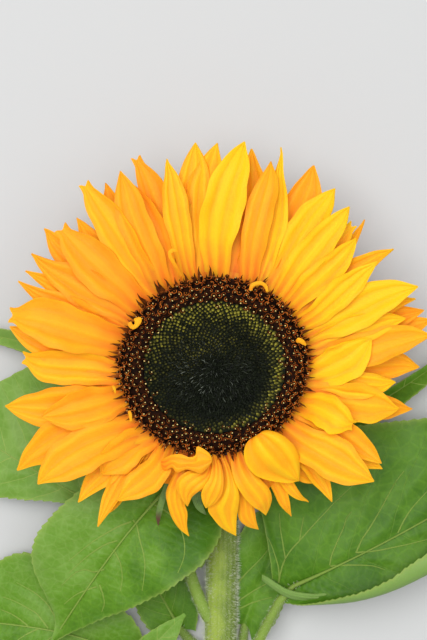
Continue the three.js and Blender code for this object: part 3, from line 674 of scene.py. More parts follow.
def bend_blade(controls, s, t, half, number, lean=0.0, cup=0.2, fold=0.35, ripple=0.45, notch=0.0):
    """Points in millimetres of a blade whose half width is given at each point."""
    points, along = bezier(controls, t)
    outward = np.asarray(controls[-1], float) - controls[0]
    level = unit(np.cross([0, 0, 1], [outward[0], outward[1], 0]))
    side = unit(level - along * (along @ level)[:, None])
    normal = np.cross(along, side)
    # How far each point lifts off the blade's flat cross-section.
    body = smooth_step(t, 0.05, 0.3)
    folds = fold * fold_wave(s, number) * np.sin(np.pi * np.clip(t, 0, 0.97)) ** 0.6
    edge = ripple * np.abs(s) ** 3 * np.sin(2 * np.pi * (2.2 * t + draw(number, 7)) + 2 * s)
    curl = 1.8 * draw(number, 11) * smooth_step(t, 0.72, 1.0) ** 1.5
    lift = (cup * half * s * s + folds + edge * np.sin(np.pi * t) + curl) * body
    # How far it lies to the side of the rib.
    drift = 0.5 * np.sin(2 * np.pi * (0.8 * t + draw(number, 8))) * body
    drift = drift + 1.3 * draw(number, 13) * smooth_step(t, 0.78, 1.0) ** 2
    margin = 0.035 * np.sin(2 * np.pi * (4.3 * t + draw(number, 14)) + 2 * np.sign(s))
    sway = 0.06 * np.sin(2 * np.pi * (1.7 * t + draw(number, 12)) + np.sign(s))
    out = s * half * (1 + margin + sway)
    # The notch pulls the middle of the tip back, and the lean turns the blade about its rib.
    lean = lean * smooth_step(t, 0.1, 0.6)
    points = points - along * (notch * np.exp(-((s / 0.5) ** 2)) * smooth_step(t, 0.9, 1))[:, None]
    points = points + side * (out * np.cos(lean) - lift * np.sin(lean) + drift)[:, None]
    return points + normal * (out * np.sin(lean) + lift * np.cos(lean))[:, None]


# %% [markdown]
# ## Twisted petals and strays
# At the bottom of the bloom a few petals twist over each other, and no rib with a width can say
# that. Both edges of these are listed instead, point by point from root to tip in millimetres about
# the bloom's axis, and the blade is stretched between the two edges. Each key is the petal's number
# in the list above. The strays are a handful of stunted ray florets, curled up on the disc's rim.

# %% The edges of the twisted petals
TWISTED = {
    24: (  # the orange one behind the sickle
        [(4.4, -30.9, 43), (5.8, -36, 42.5), (7.7, -42.6, 42), (8.4, -48.6, 40), (8.8, -55.4, 38),
         (11.8, -58.6, 36), (16, -59.9, 35)],
        [(6.9, -30.9, 43), (9.8, -36.7, 42.5), (12.7, -44, 42), (13.9, -48.6, 40.5),
         (14.5, -52.8, 38.5), (15.1, -56.7, 37), (16, -59.9, 35)],
    ),
    44: (  # the hook at the left
        [(-12.6, -34.6, 42), (-15.5, -40.4, 42), (-17.6, -45.6, 41), (-17.1, -50.1, 40),
         (-15.7, -55.1, 38), (-13.1, -59.4, 36), (-9.5, -62.4, 35)],
        [(-6.8, -36, 42), (-9, -41.1, 42), (-10.8, -45.5, 42), (-11, -49.6, 41), (-10, -53.5, 39),
         (-10.2, -58.1, 37), (-9.5, -62.4, 35)],
    ),
    63: (  # the broad one at the right
        [(6.2, -31.9, 43.5), (6, -36.5, 45), (7.6, -42.1, 46), (10.9, -47.4, 44.5),
         (14.2, -50.8, 43), (16.4, -52.3, 41), (18.5, -54.2, 39)],
        [(10.2, -30.1, 43.5), (12.3, -34.7, 45), (15.9, -40, 46), (19.2, -43.7, 45),
         (20.5, -47.2, 43), (20, -50.7, 41), (18.5, -54.2, 39)],
    ),
    64: (  # the sickle
        [(1.1, -31.6, 43), (2.9, -35.9, 44), (2.9, -41.5, 45), (0.8, -46.2, 45), (-2.5, -51.2, 43),
         (-0.7, -55, 41), (2.6, -58.9, 39), (7.7, -62, 37)],
        [(3.3, -32, 43), (5.5, -36.9, 44), (7.6, -42.2, 45), (8.7, -46.6, 44.5), (8.4, -50.8, 43),
         (7.9, -54.3, 41), (7.7, -58.2, 39), (7.7, -62, 37)],
    ),
    75: (  # the broad one, curled up over the lower right of the disc
        [(15.1, -27.9, 48), (12.2, -26.1, 50.5), (10.5, -29.1, 51.5), (10.7, -33.3, 51.5),
         (12.9, -37, 50.5), (15.8, -39.4, 48.5), (20.5, -41, 46.5), (26.4, -41.9, 45),
         (30.2, -41.3, 44)],
        [(15.1, -25.4, 48), (17.2, -22.9, 50.5), (20.3, -22.8, 52), (24.2, -24.4, 52.2),
         (27.5, -27.3, 51.5), (29.5, -30.6, 50), (30.3, -34, 48), (30.5, -37.8, 46),
         (30.2, -41.3, 44)],
    ),
    76: (  # the crescent
        [(-0.9, -31.4, 45), (-1, -35.9, 47), (-1.8, -39.8, 48), (-3.9, -43, 48), (-4.8, -45.6, 47),
         (-4.3, -48.7, 45.5), (-3.2, -51, 44)],
        [(0.8, -32.1, 45), (2.6, -36.2, 47.5), (3.1, -40.7, 49), (2.7, -44.7, 48.5),
         (1.1, -47.8, 47), (-1, -49.8, 45.5), (-3.2, -51, 44)],
    ),
    77: (  # the lobe over the hook
        [(-2.1, -32.9, 45), (-5.7, -37, 47), (-10, -37.6, 48), (-13.6, -40.8, 48),
         (-13.3, -44.9, 47), (-11.5, -48.3, 45.5), (-9.9, -50.3, 44)],
        [(-1, -35, 45), (-1.4, -39.2, 47), (-3.2, -42.3, 48), (-5.7, -44.4, 48),
         (-8.1, -46.4, 46.5), (-9.2, -48.7, 45), (-9.9, -50.3, 44)],
    ),
    78: (  # the twisted one that lies over the edge of the disc
        [(-19.4, -33.9, 45.5), (-17.9, -32.7, 47), (-15.2, -31.4, 49), (-12.1, -31.1, 50.5),
         (-8.9, -32.1, 51.5), (-6.7, -31.1, 52.3), (-6.2, -28.1, 52.6), (-2.6, -30.1, 52.4),
         (-1.2, -32.3, 51.5)],
        [(-19.2, -35.3, 45.5), (-18, -37.3, 46), (-15.4, -35.8, 48), (-13.6, -37.7, 48.5),
         (-10.3, -36.4, 49.5), (-7.5, -37, 50.5), (-5, -37.7, 51), (-2.5, -35.5, 51),
         (-1.2, -33.6, 51.2)],
    ),
}
BROAD_CURL = 75  # it lies flatter than the others and is more folded
print("twisted petals:", len(TWISTED))

# %% The edges of the strays
STRAYS = [
    (
        [(-31, 15.8, 51.5), (-30.4, 14.4, 51.8), (-29.1, 13.7, 52.2), (-27.7, 14.4, 52.6),
         (-26.5, 15.8, 52.6), (-26.2, 17.3, 52.6), (-27, 17.8, 52.4), (-28.6, 17.3, 52)],
        [(-29.9, 16.4, 51.5), (-29.6, 15.5, 51.8), (-29, 15, 52.2), (-28.4, 15.5, 52.6),
         (-28.4, 16.2, 52.6), (-28.5, 16.6, 52.6), (-28.6, 16.9, 52.4), (-28.8, 17.1, 52)],
    ),
    (
        [(12.3, 27.6, 51.5), (12.7, 29.5, 52.2), (14.6, 30.5, 52.6), (16.7, 30.5, 52.6),
         (18.5, 29.2, 52.2), (18.9, 27.1, 51.5)],
        [(13.2, 27.4, 51.5), (13.6, 28.6, 52), (15, 29.4, 52.4), (16.6, 29.4, 52.4),
         (17.8, 28.5, 52), (18.3, 27.1, 51.5)],
    ),
    (
        [(28.9, 9.4, 51.5), (29.7, 10.5, 52.4), (31.4, 9.8, 52.2), (32.5, 8.2, 51.5)],
        [(29.3, 8.9, 51.5), (30.1, 8.9, 52), (31, 8.4, 52), (32.3, 7.8, 51.5)],
    ),
    (
        [(-12.9, 32.7, 47), (-14.6, 36.2, 50), (-16.2, 39, 51.5), (-16.5, 41.1, 52.2),
         (-15.3, 42.2, 52.4), (-13.5, 41.8, 52)],
        [(-11.8, 32.7, 47), (-13.5, 36.2, 50), (-15.1, 39, 51.5), (-15.5, 40.4, 52),
         (-14.7, 41.2, 52.2), (-13.3, 41.1, 52)],
    ),
    (
        [(-30.8, -15.5, 51.5), (-30.6, -16.9, 52), (-30.1, -19.1, 51.5)],
        [(-30.3, -15.4, 51.5), (-29.7, -16.9, 52), (-29.7, -19.1, 51.5)],
    ),
    (
        [(-36.8, -6.7, 50), (-36.2, -7.7, 50.5), (-35.7, -9.2, 50)],
        [(-36.2, -6.5, 50), (-35.5, -7.7, 50.5), (-35.5, -9.2, 50)],
    ),
]
print("strays:", len(STRAYS))


# %% Stretch a blank grid between two edges
def stretch_blade(edges, s, t, number, bulge=0.12, fold=0.03):
    """Points in millimetres of a blade between a first and a second edge."""
    first, second = (smooth_line(edge, t) for edge in edges)
    points = mix(first, second, (0.5 + 0.5 * s)[:, None])
    width = np.linalg.norm(second - first, axis=1)
    points[:, 2] += width * (bulge * (0.6 - s * s) + fold * fold_wave(s, number))
    return points


# %% Grow all the ray petals
NOTCH_DEPTH = 1.2
all_petals = [(layer, petal) for layer, petals in PETALS.items() for petal in petals]
blank, s, t = blank_grid(16, 26)
grown = []
for number, (layer, petal) in enumerate(all_petals):
    width, bluntness, tone = petal[4:]
    if number in TWISTED:
        flatter = dict(bulge=0.05, fold=0.07) if number == BROAD_CURL else {}
        shape = stretch_blade(TWISTED[number], s, t, number, **flatter)
    else:
        half = width / 2 * petal_width_at(t, bluntness)
        lean = math.radians(9 * draw(number, 4))
        notch = NOTCH_DEPTH if bluntness >= NOTCHED else 0.0
        folds = dict(fold=0.028 * width, ripple=0.05 * width, notch=notch)
        shape = bend_blade(petal_rib(petal, layer, number), s, t, half, number, lean, **folds)
    # The crease value is painted shade: high in the folds of the blade.
    crease = (0.5 - 0.5 * fold_wave(s, number)) * np.sin(np.pi * np.maximum(t, 0.2)) ** 0.5
    grown.append(grow_blade(blank, shape, tone=tone / 100, crease=crease))
bpy.data.objects.remove(blank)
print("petals grown:", len(grown))

# %% Grow the strays, and finish the petals
PETAL_THICKNESS = 0.45
blank, s, t = blank_grid(6, 16)
for number, edges in enumerate(STRAYS, len(all_petals)):
    shape = stretch_blade(edges, s, t, number, bulge=0.25)
    grown.append(grow_blade(blank, shape, tone=0.5, crease=0.0))
bpy.data.objects.remove(blank)
petals = join("petals", grown)
thicken(petals, PETAL_THICKNESS)
smooth(petals)
finish_piece(petals, petal_paint, "petal", "ray_petals")

# %% [markdown]
# ## The disc
# A sunflower's florets stand on a spiral: each next one is turned by the golden angle, 137.5
# degrees, and its distance from the middle grows with the square root of its number. That packs
# them evenly and draws the crossing arcs that everyone knows. The closed buds in the middle are
# small and tight, and the open florets outside them are wider apart, so the spiral grows faster
# from there on.

# %% The spiral of the disc
GOLDEN_ANGLE = 137.508
BUD_RADIUS = 25.4
DISC_RADIUS = 35.2
BUD_SPACING = 1.32
FLORET_SPACING = 1.95


def spiral(spacing, inner, outer, first=0):
    """Angles in degrees and radii in millimetres of florets on the disc."""
    area_each = spacing**2 * 0.87
    count = int(math.pi * (outer**2 - inner**2) / area_each)
    numbers = np.arange(count)
    radii = np.sqrt(inner**2 + (numbers + 0.5) * area_each / math.pi)
    return (numbers + first) * GOLDEN_ANGLE % 360, radii


bud_angles, bud_radii = spiral(BUD_SPACING, 0.0, BUD_RADIUS)
bud_radii = BUD_RADIUS * (bud_radii / BUD_RADIUS) ** 1.12
inner, outer = BUD_RADIUS + 0.4, DISC_RADIUS - 0.4
floret_angles, floret_radii = spiral(FLORET_SPACING, inner, outer, len(bud_radii))
print("buds:", len(bud_radii), "open florets:", len(floret_radii))


# %% Places on the disc
def disc_height_at(radius):
    """A low crown of open florets round a shallow bowl of buds."""
    crown = 4.2 * np.exp(-(((radius - 29) / 5.5) ** 2))
    bowl = 3.2 + 1.1 * smooth_step(radius, 0, 20)
    edge = 1 - smooth_step(radius, 29, 37)
    return mix(2.6, bowl + 0.6 * crown, edge)


def on_disc(angles, radii, above):
    return bloom_point(angles, radii, HEAD_Z + disc_height_at(radii) + above)


def lean_out(angles, tilts):
    """Uprights that lean outwards from the axis by these tangents."""
    return bloom_point(angles, 1.0, 0.0) * tilts[:, None] + np.array([0, 0, 1.0])


def facing(angles, angle):
    """1 for what lies at this angle of the disc, falling to 0 on the other side."""
    return 0.5 + 0.5 * np.cos(np.radians(angles - angle))


print("the disc rises", disc_height_at(np.linspace(0, DISC_RADIUS, 5)).round(2), "mm")

# %% [markdown]
# ## Profiles and patterns
# The ground that the florets stand on is a turned shape. The points of a circle primitive are moved
# onto one half of its cross-section, and the spin tool turns that round the axis. The florets
# themselves are the same few shapes over and over. Each is modelled once as a small pattern, in
# millimetres, and stamped into one mesh at all its places, because thousands of separate objects
# would be slow to join. Each copy carries the pattern's tip value, which tells the material how
# near to the tip a point is.


# %% Turn a profile
def turn_profile(name, profile, steps=72):
    """Spins a closed outline of (radius, height) points round the bloom's axis."""
    bpy.ops.mesh.primitive_circle_add(vertices=len(profile))
    piece = bpy.context.object
    piece.name = name
    set_points(piece.data, in_frame([(radius, 0, z) for radius, z in profile]))
    bpy.ops.object.mode_set(mode="EDIT")
    bpy.ops.mesh.select_all(action="SELECT")
    bpy.ops.mesh.spin(steps=steps, angle=2 * math.pi, center=tuple(AXIS), axis=(0, 0, 1))
    bpy.ops.mesh.select_all(action="SELECT")
    bpy.ops.mesh.remove_doubles(threshold=0.02 * MM)
    bpy.ops.mesh.normals_make_consistent(inside=False)
    bpy.ops.object.mode_set(mode="OBJECT")
    return piece


def turn_ground(name, radii, first, last):
    """Turns the ground of the disc: a flat underside, from first to last, and its top."""
    seat = [(radius, HEAD_Z + SEAT_RISE) for radius in (first, last)]
    ground = turn_profile(name, seat + [(r, HEAD_Z + disc_height_at(r)) for r in radii])
    set_value(ground.data, "tip", 0.0)
    return ground


# %% Model a pattern and stamp it
def draw_up(pattern, *steps):
    """Extrudes the top of a pattern by each offset, and scales it there by each share."""
    bpy.ops.object.mode_set(mode="EDIT")
    bpy.ops.mesh.select_all(action="DESELECT")
    bpy.ops.object.mode_set(mode="OBJECT")
    for face in pattern.data.polygons:
        face.select = face.normal.z > 0.9
    bpy.ops.object.mode_set(mode="EDIT")
    for offset, share in steps:
        bpy.ops.mesh.extrude_region_move(TRANSFORM_OT_translate={"value": offset})
        bpy.ops.transform.resize(value=(share, share, 1))
    bpy.ops.object.mode_set(mode="OBJECT")


def stamp(name, pattern, places, uprights, sizes, spin, **values):
    """One mesh with a copy of a pattern at every place, standing along its upright.

    Each copy is turned by spin more than the last one, in radians, and has its own number of each
    of the values."""
    base = get_points(pattern.data)
    tips = np.empty(len(base))
    pattern.data.attributes["tip"].data.foreach_get("value", tips)
    uprights = unit(np.asarray(uprights, float))
    level = unit(np.cross(uprights, [0.123, 1.0, 0.0]))
    third = np.cross(uprights, level)
    spins = np.arange(len(places)) * spin
    cos, sin = np.cos(spins)[:, None, None], np.sin(spins)[:, None, None]
    x, y, z = (base[None, :, axis, None] for axis in range(3))
    turned_x, turned_y = x * cos - y * sin, x * sin + y * cos
    points = level[:, None] * turned_x + third[:, None] * turned_y + uprights[:, None] * z
    points = points * np.asarray(sizes)[:, None, None] + np.asarray(places)[:, None]
    faces = [tuple(face.vertices) for face in pattern.data.polygons]
    count = len(base)
    all_faces = [tuple(v + i * count for v in face) for i in range(len(places)) for face in faces]
    mesh = bpy.data.meshes.new(name)
    mesh.from_pydata(in_frame(points.reshape(-1, 3)), [], all_faces)
    set_value(mesh, "tip", np.tile(tips, len(places)))
    for value_name, value in values.items():
        set_value(mesh, value_name, np.repeat(value, count))
    piece = bpy.data.objects.new(name, mesh)
    bpy.context.collection.objects.link(piece)
    return piece


# %% Squeeze the disc
DISC_SQUEEZE = 0.93
PRESSED_AT = 130.0  # clockwise degrees from the top
PRESSED_IN = 0.045


def squeeze(piece):
    """The disc shows wider than tall, and the curled petals press its lower right edge in."""
    points = get_points(piece.data)
    x, y = points[:, 0] - AXIS[0], points[:, 1] - AXIS[1]
    pressed = np.maximum(0, np.cos(np.arctan2(x, y) - math.radians(PRESSED_AT)))
    reach = np.hypot(x, y) / (DISC_RADIUS * MM)
    pull = 1 - PRESSED_IN * pressed**2 * smooth_step(reach, 0.6, 1)
    points[:, 0] = AXIS[0] + x * pull
    points[:, 1] = AXIS[1] + y * pull * DISC_SQUEEZE
    set_points(piece.data, points)


# %% [markdown]
# ## The closed buds
# A closed bud is a small six-sided pillar with a pointed lid. One is modelled from a cylinder: its
# top is drawn in twice, first to the lid's edge and then to the point. Buds near the middle are
# almost black, and those about to open have olive tips, brightest at the top and right of the disc.

# %% Model one bud
bpy.ops.mesh.primitive_cylinder_add(vertices=6, radius=0.62, depth=1.6, location=(0, 0, 0.1))
bud = bpy.context.object
bpy.ops.object.transform_apply(location=True)
draw_up(bud, ((0, 0, 0.45), 0.62), ((0, 0, 0.55), 0.2))
set_value(bud.data, "tip", smooth_step(get_points(bud.data)[:, 2], 0.3, 2.3))
print("one bud has", len(bud.data.polygons), "faces")

# %% Bud material
bud_paint, tree, shader, where, cloud = new_material("bud_skin", 1.6)
skin = tree.blend(cloud, (0.002, 0.003, 0.002, 1), (0.010, 0.014, 0.006, 1))
ripeness = tree.value("ripeness")
olive = tree.blend(ripeness, (0.045, 0.052, 0.034, 1), (0.48, 0.43, 0.06, 1))
skin = tree.blend(tree.times(tree.value("tip"), tree.times_plus(ripeness, 0.75, 0.25)), skin, olive)
# Painted highlight: tips with a glint value are painted a pale grey-green glint.
glint = tree.times(tree.value("painted_glint"), tree.value("tip"))
tree.feed(shader["Base Color"], tree.blend(glint, skin, (0.42, 0.46, 0.38, 1)))
tree.feed(shader["Roughness"], tree.times_plus(cloud, 0.25, 0.5))
tree.feed(shader["Normal"], tree.bump(cloud, 0.06, 0.5))
shader["Specular IOR Level"].default_value = 0.09

# %% Set the buds on their bowl
bowl = turn_ground("buds_bowl", np.linspace(BUD_RADIUS, 0, 14), 0.0, BUD_RADIUS)
numbers = np.arange(len(bud_radii))
places = on_disc(bud_angles, bud_radii, -0.3)
places[:, :2] += 0.2 * np.stack([draws(numbers, 27), draws(numbers, 28)], axis=1)
sizes = (0.92 + 0.22 * draws(numbers, 21)) * (0.8 + 0.25 * bud_radii / BUD_RADIUS)
tilts = -0.35 * (bud_radii / BUD_RADIUS) ** 2
tilts -= 0.7 * smooth_step(bud_radii, 14, 23) * facing(bud_angles, 120) ** 2
patches = 1 + 0.35 * np.sin(0.9 * places[:, 0] + 2) * np.sin(0.8 * places[:, 1] - 1)
ripe = 0.42 * smooth_step(bud_radii, 2, 9) * facing(bud_angles, 340) ** 2 * patches
ripe += 0.75 * smooth_step(bud_radii, 16, 23) * facing(bud_angles, 5) ** 2
ripe += 0.75 * smooth_step(bud_radii, 19, 24.5) * facing(bud_angles, 110) ** 1.5
ripe = np.clip(ripe * (1 + 0.7 * draws(numbers, 22)), 0, 1)
crowd = stamp("buds_crowd", bud, places, lean_out(bud_angles, tilts), sizes, 1.7, ripeness=ripe)
bpy.data.objects.remove(bud)
print("buds set:", len(places))

# %% [markdown]
# ## Bristles between the buds
# Stiff little scales stand between the buds, one beside each, and others lie over them, combed out
# from the middle. They blur the spiral. In patches, and most at the lower left, their tips are
# painted a pale glint, a painted highlight where they would catch the light. One bristle is a
# three-sided cone whose tip is drawn on to one side.
# The combed ones are the same pattern, laid almost flat.

# %% Stand a bristle beside every bud
bpy.ops.mesh.primitive_cone_add(
    vertices=3, radius1=0.17, radius2=0.1, depth=1.2, location=(0, 0, 0.9)
)
bristle = bpy.context.object
bpy.ops.object.transform_apply(location=True)
draw_up(bristle, ((0.0, -0.35, 0.9), 0.15))
set_value(bristle.data, "tip", smooth_step(get_points(bristle.data)[:, 2], 0.9, 2.3))
inside = bud_radii < BUD_RADIUS - 1
angles = bud_angles[inside] + 360 / 34
radii = bud_radii[inside]
numbers = np.arange(len(radii))
places = on_disc(angles, radii, 0.1)
clumps = 0.5 + 0.5 * np.sin(0.55 * places[:, 0] + 1) * np.sin(0.62 * places[:, 1] + 2)
# The glint value marks bristle tips that are painted pale, as a painted highlight, in patches and
# most at the lower left.
painted_glint = smooth_step(draws(numbers, 29), -0.1, 1.0) ** 2 * smooth_step(radii, 23, 7)
painted_glint = painted_glint * (0.16 + 0.84 * facing(angles, 235) ** 1.5) * (0.35 + 0.9 * clumps)
sizes = 0.95 + 0.3 * draws(numbers, 25) + 0.7 * painted_glint
uprights = lean_out(angles, 0.5 + 0.5 * draws(numbers, 24))
ripe = 0.5 * np.maximum(0, draws(numbers, 26)) ** 2 * facing(angles, 340) ** 2
values = dict(ripeness=ripe, painted_glint=0.75 * painted_glint)
bristles = stamp("bristles", bristle, places, uprights, sizes, 2.9, **values)
print("bristles:", len(places))

# %% Comb more bristles out from the middle, over the buds
COMBED_COUNT = 900
COMBED_REACH = 20.5
numbers = np.arange(COMBED_COUNT)
radii = COMBED_REACH * np.sqrt((numbers + 0.5) / COMBED_COUNT)
angles = numbers * GOLDEN_ANGLE + 9 * draws(numbers, 61)
places = on_disc(angles, radii, 0.75)
swirl = 18 + 32 * draws(numbers, 62)
uprights = lean_out(angles + swirl, 1.9 + 0.8 * draws(numbers, 63))
sizes = 0.85 + 0.3 * draws(numbers, 64)
# The combed bristles' tips get the same painted highlight.
painted_glint = smooth_step(draws(numbers, 65), -0.3, 1.0) ** 2 * smooth_step(radii, 19, 6)
painted_glint = painted_glint * (0.3 + 0.9 * facing(angles, 235) ** 1.5)
mossy = smooth_step(draws(numbers, 66), -0.2, 1.0) * facing(angles, 345) ** 2
values = dict(ripeness=0.28 * mossy * smooth_step(radii, 2, 8), painted_glint=painted_glint)
combed = stamp("combed", bristle, places, uprights, sizes, 1.9, **values)
bpy.data.objects.remove(bristle)
buds = join("buds", [bowl, crowd, bristles, combed])
squeeze(buds)
smooth(buds, 35)
finish_piece(buds, bud_paint, "bud", "disc_buds")

# %% [markdown]
# ## The open florets
# An open floret is a little maroon cup with five pointed lobes, and a dark pillar of pollen that
# ends in a pale yellow tip. The cup is a ten-sided tube whose rim is drawn out, and every second
# point of the rim is pulled down between the lobes. The pillar is a second, thinner tube.

# %% Model the cup of an open floret
CUP_TOP = 1.4  # the rim of the tube lies above this
bpy.ops.mesh.primitive_cylinder_add(
    vertices=10, radius=0.42, depth=1.5, end_fill_type="NOTHING", location=(0, 0, 0.75)
)
cup = bpy.context.object
bpy.ops.object.transform_apply(location=True)
bpy.ops.object.mode_set(mode="EDIT")
bpy.ops.mesh.select_mode(type="EDGE")
bpy.ops.object.mode_set(mode="OBJECT")
for vertex in cup.data.vertices:
    vertex.select = vertex.co.z > CUP_TOP
for edge in cup.data.edges:
    edge.select = all(cup.data.vertices[v].co.z > CUP_TOP for v in edge.vertices)
for face in cup.data.polygons:
    face.select = False
bpy.ops.object.mode_set(mode="EDIT")
bpy.ops.mesh.extrude_edges_move(TRANSFORM_OT_translate={"value": (0, 0, 0.35)})
bpy.ops.transform.resize(value=(2.2, 2.2, 1))
bpy.ops.object.mode_set(mode="OBJECT")
points = get_points(cup.data)
rim = points[:, 2] > CUP_TOP + 0.3
turn = np.degrees(np.arctan2(points[:, 1], points[:, 0])) % 72
between = rim & (np.abs(turn - 36) < 18)
points[between, :2] *= 0.55
points[between, 2] -= 0.25
set_points(cup.data, points)
set_value(cup.data, "tip", np.where(rim & ~between, 0.45, np.where(rim, 0.2, 0.0)))
print("the cup has", len(cup.data.polygons), "faces")

# %% Model its pillar of pollen
bpy.ops.mesh.primitive_cylinder_add(vertices=5, radius=0.24, depth=2.2, location=(0, 0, 1.1))
pillar = bpy.context.object
bpy.ops.object.transform_apply(location=True)
draw_up(pillar, ((0, 0, 0.22), 1.2), ((0, 0, 0.3), 0.55))
set_value(pillar.data, "tip", np.where(get_points(pillar.data)[:, 2] > 2.3, 1.0, 0.0))
floret = join("floret", [cup, pillar])
print("one open floret has", len(floret.data.polygons), "faces")

# %% Floret material
floret_paint, tree, shader, where, cloud = new_material("floret_velvet", 1.8)
maroon = tree.blend(cloud, (0.004, 0.0015, 0.001, 1), (0.022, 0.006, 0.002, 1))
dull_rust = tree.blend(cloud, (0.072, 0.017, 0.0035, 1), (0.21, 0.056, 0.0085, 1))
bright_rust = tree.blend(cloud, (0.42, 0.075, 0.012, 1), (0.88, 0.24, 0.030, 1))
rust = tree.blend(tree.value("warmth"), dull_rust, bright_rust)
pollen = tree.blend(tree.value("ripeness"), (0.24, 0.09, 0.015, 1), (0.90, 0.70, 0.26, 1))
tip = tree.value("tip")
lobes = tree.blend(tree.step(tip, 0.1, 0.5), maroon, rust)
tree.feed(shader["Base Color"], tree.blend(tree.step(tip, 0.6, 0.9), lobes, pollen))
tree.feed(shader["Roughness"], tree.times_plus(cloud, 0.15, 0.7))
tree.feed(shader["Normal"], tree.bump(cloud, 0.08, 0.5))
shader["Specular IOR Level"].default_value = 0.06

# %% [markdown]
# ## The ring of open florets
# The florets open from the edge of the disc inwards. So the ones outside are worn down to warm rust
# cups that lean out over the petals, and the ones inside still carry ripe pollen. A few open early,
# among the outermost buds. They are a little smaller.

# %% Set the open florets on their ring
EARLY_FLORETS = 46
inner, outer = BUD_RADIUS + 0.35, DISC_RADIUS - 1.0
ring = turn_ground("florets_ring", np.linspace(inner, outer, 9), outer, inner)
early = np.arange(EARLY_FLORETS)
early_angles = early * 360 / EARLY_FLORETS + 6 * draws(early, 37)
early_radii = BUD_RADIUS - 0.8 + 0.9 * draws(early, 38)
angles = np.concatenate([floret_angles, early_angles])
radii = np.concatenate([floret_radii, early_radii])
numbers = np.arange(len(radii))
outness = np.maximum(0, (radii - BUD_RADIUS) / (DISC_RADIUS - BUD_RADIUS))
radii = radii + 0.25 * draws(numbers, 34)
angles = angles + 0.5 * draws(numbers, 35)
places = on_disc(angles, radii, -0.5)
uprights = lean_out(angles, 0.9 * (outness - 0.35) + 0.3 * draws(numbers, 32))
sizes = 0.95 + 0.2 * draws(numbers, 31) - 0.15 * (radii < BUD_RADIUS)
ripe = np.clip(1.1 - 1.2 * outness + 0.6 * draws(numbers, 33), 0, 1)
warmth = 2.0 * outness - 0.15 + 0.4 * draws(numbers, 36)
warmth = np.clip(warmth - 0.35 * facing(angles, 245) ** 2, 0, 1)
values = dict(ripeness=ripe, warmth=warmth)
crowd = stamp("florets_crowd", floret, places, uprights, sizes, 2.1, **values)
bpy.data.objects.remove(floret)
print("open florets set:", len(places))

# %% [markdown]
# ## The chaff round the disc
# Between the last florets and the petals stand stiff dark scales, the chaff. They lie out over the
# roots of the petals and make the ragged edge of the disc. One scale is a three-sided cone that is
# bent forward at its tip.

# %% Model one scale of chaff and set a ragged ring of them
CHAFF_COUNT = 160
CHAFF_RADIUS = 33.7
CHAFF_RISE = 3.0
bpy.ops.mesh.primitive_cone_add(
    vertices=3, radius1=0.75, radius2=0.2, depth=2.6, location=(0, 0, 1.3)
)
scale_pattern = bpy.context.object
bpy.ops.object.transform_apply(location=True)
draw_up(scale_pattern, ((0.0, 0.25, 1.0), 0.1))
set_value(scale_pattern.data, "tip", 0.33)
numbers = np.arange(CHAFF_COUNT)
angles = numbers * 360 / CHAFF_COUNT + 1.2 * draws(numbers, 41)
places = bloom_point(angles, CHAFF_RADIUS + 1.1 * draws(numbers, 42), HEAD_Z + CHAFF_RISE)
uprights = lean_out(angles, 1.6 + 0.9 * draws(numbers, 43))
sizes = 0.6 + 1.05 * (0.5 + 0.5 * draws(numbers, 44)) ** 3
sizes *= 1 + 0.35 * facing(angles, 325) ** 3
warmth = np.maximum(0, 0.5 * draws(numbers, 45))
chaff = stamp("chaff", scale_pattern, places, uprights, sizes, 1.1, warmth=warmth)
bpy.data.objects.remove(scale_pattern)
florets = join("florets", [ring, crowd, chaff])
squeeze(florets)
smooth(florets, 40)
finish_piece(florets, floret_paint, "floret", "disc_florets")

# %% [markdown]
# ## The finish of the leaves
# A leaf is deep green above, paler below, with yellow-green veins and a thin pale margin. Its
# surface is satin and slightly rough from short hairs. The flat coordinates of the veins are kept
# on the leaf as its own map, so that the pattern follows the blade wherever it bends.

# %% Leaf colour
leaf_paint, tree, shader, where, cloud = new_material("leaf_blade", 17.0)
flat = tree.node("ShaderNodeUVMap", uv_map="flat").outputs["UV"]
pattern = tree.group(VEINS, Where=flat)
grain = tree.noise(where["Object"], 900.0, 3.0)
# The tone value holds each leaf's own tone with its painted shade and painted light.
depth = tree.times_plus(cloud, 0.26, tree.math("ADD", tree.value("tone"), 0.03))
depth = tree.times_plus(tree.step(grain, 0.4, 0.7), 0.07, depth)
depth = tree.times_plus(pattern["Net"], -0.11, depth)
deep = tree.ramp(
    depth,
    (0.0, (0.045, 0.135, 0.003, 1)),
    (0.5, (0.106, 0.240, 0.014, 1)),
    (1.0, (0.195, 0.335, 0.065, 1)),
)
green = tree.blend(tree.times(tree.value("underside"), 0.85), deep, (0.20, 0.33, 0.08, 1))
lines = (tree.times(pattern["Vein"], 0.75), tree.times(pattern["Midrib"], 0.5))
pale = tree.times(tree.math("MAXIMUM", *lines), tree.value("painted"))
pale = tree.math("MAXIMUM", pale, tree.value("stalk"))
pale = tree.math("MAXIMUM", pale, tree.times(tree.value("margin"), 0.55))
tree.feed(shader["Base Color"], tree.blend(pale, green, (0.31, 0.405, 0.085, 1)))

# %% Leaf surface
height = tree.times_plus(pattern["Vein"], -0.5, tree.times(pattern["Net"], 0.22))
height = tree.times_plus(grain, 0.25, height)
tree.feed(shader["Normal"], tree.bump(height, 0.3, 0.5))
tree.feed(shader["Roughness"], tree.times_plus(grain, 0.25, 0.38))
shader["Subsurface Weight"].default_value = 0.08
shader["Subsurface Radius"].default_value = (0.4, 1.0, 0.2)
shader["Subsurface Scale"].default_value = 1.5 * MM
shader["Specular IOR Level"].default_value = 0.2
shader["Sheen Weight"].default_value = 0.02

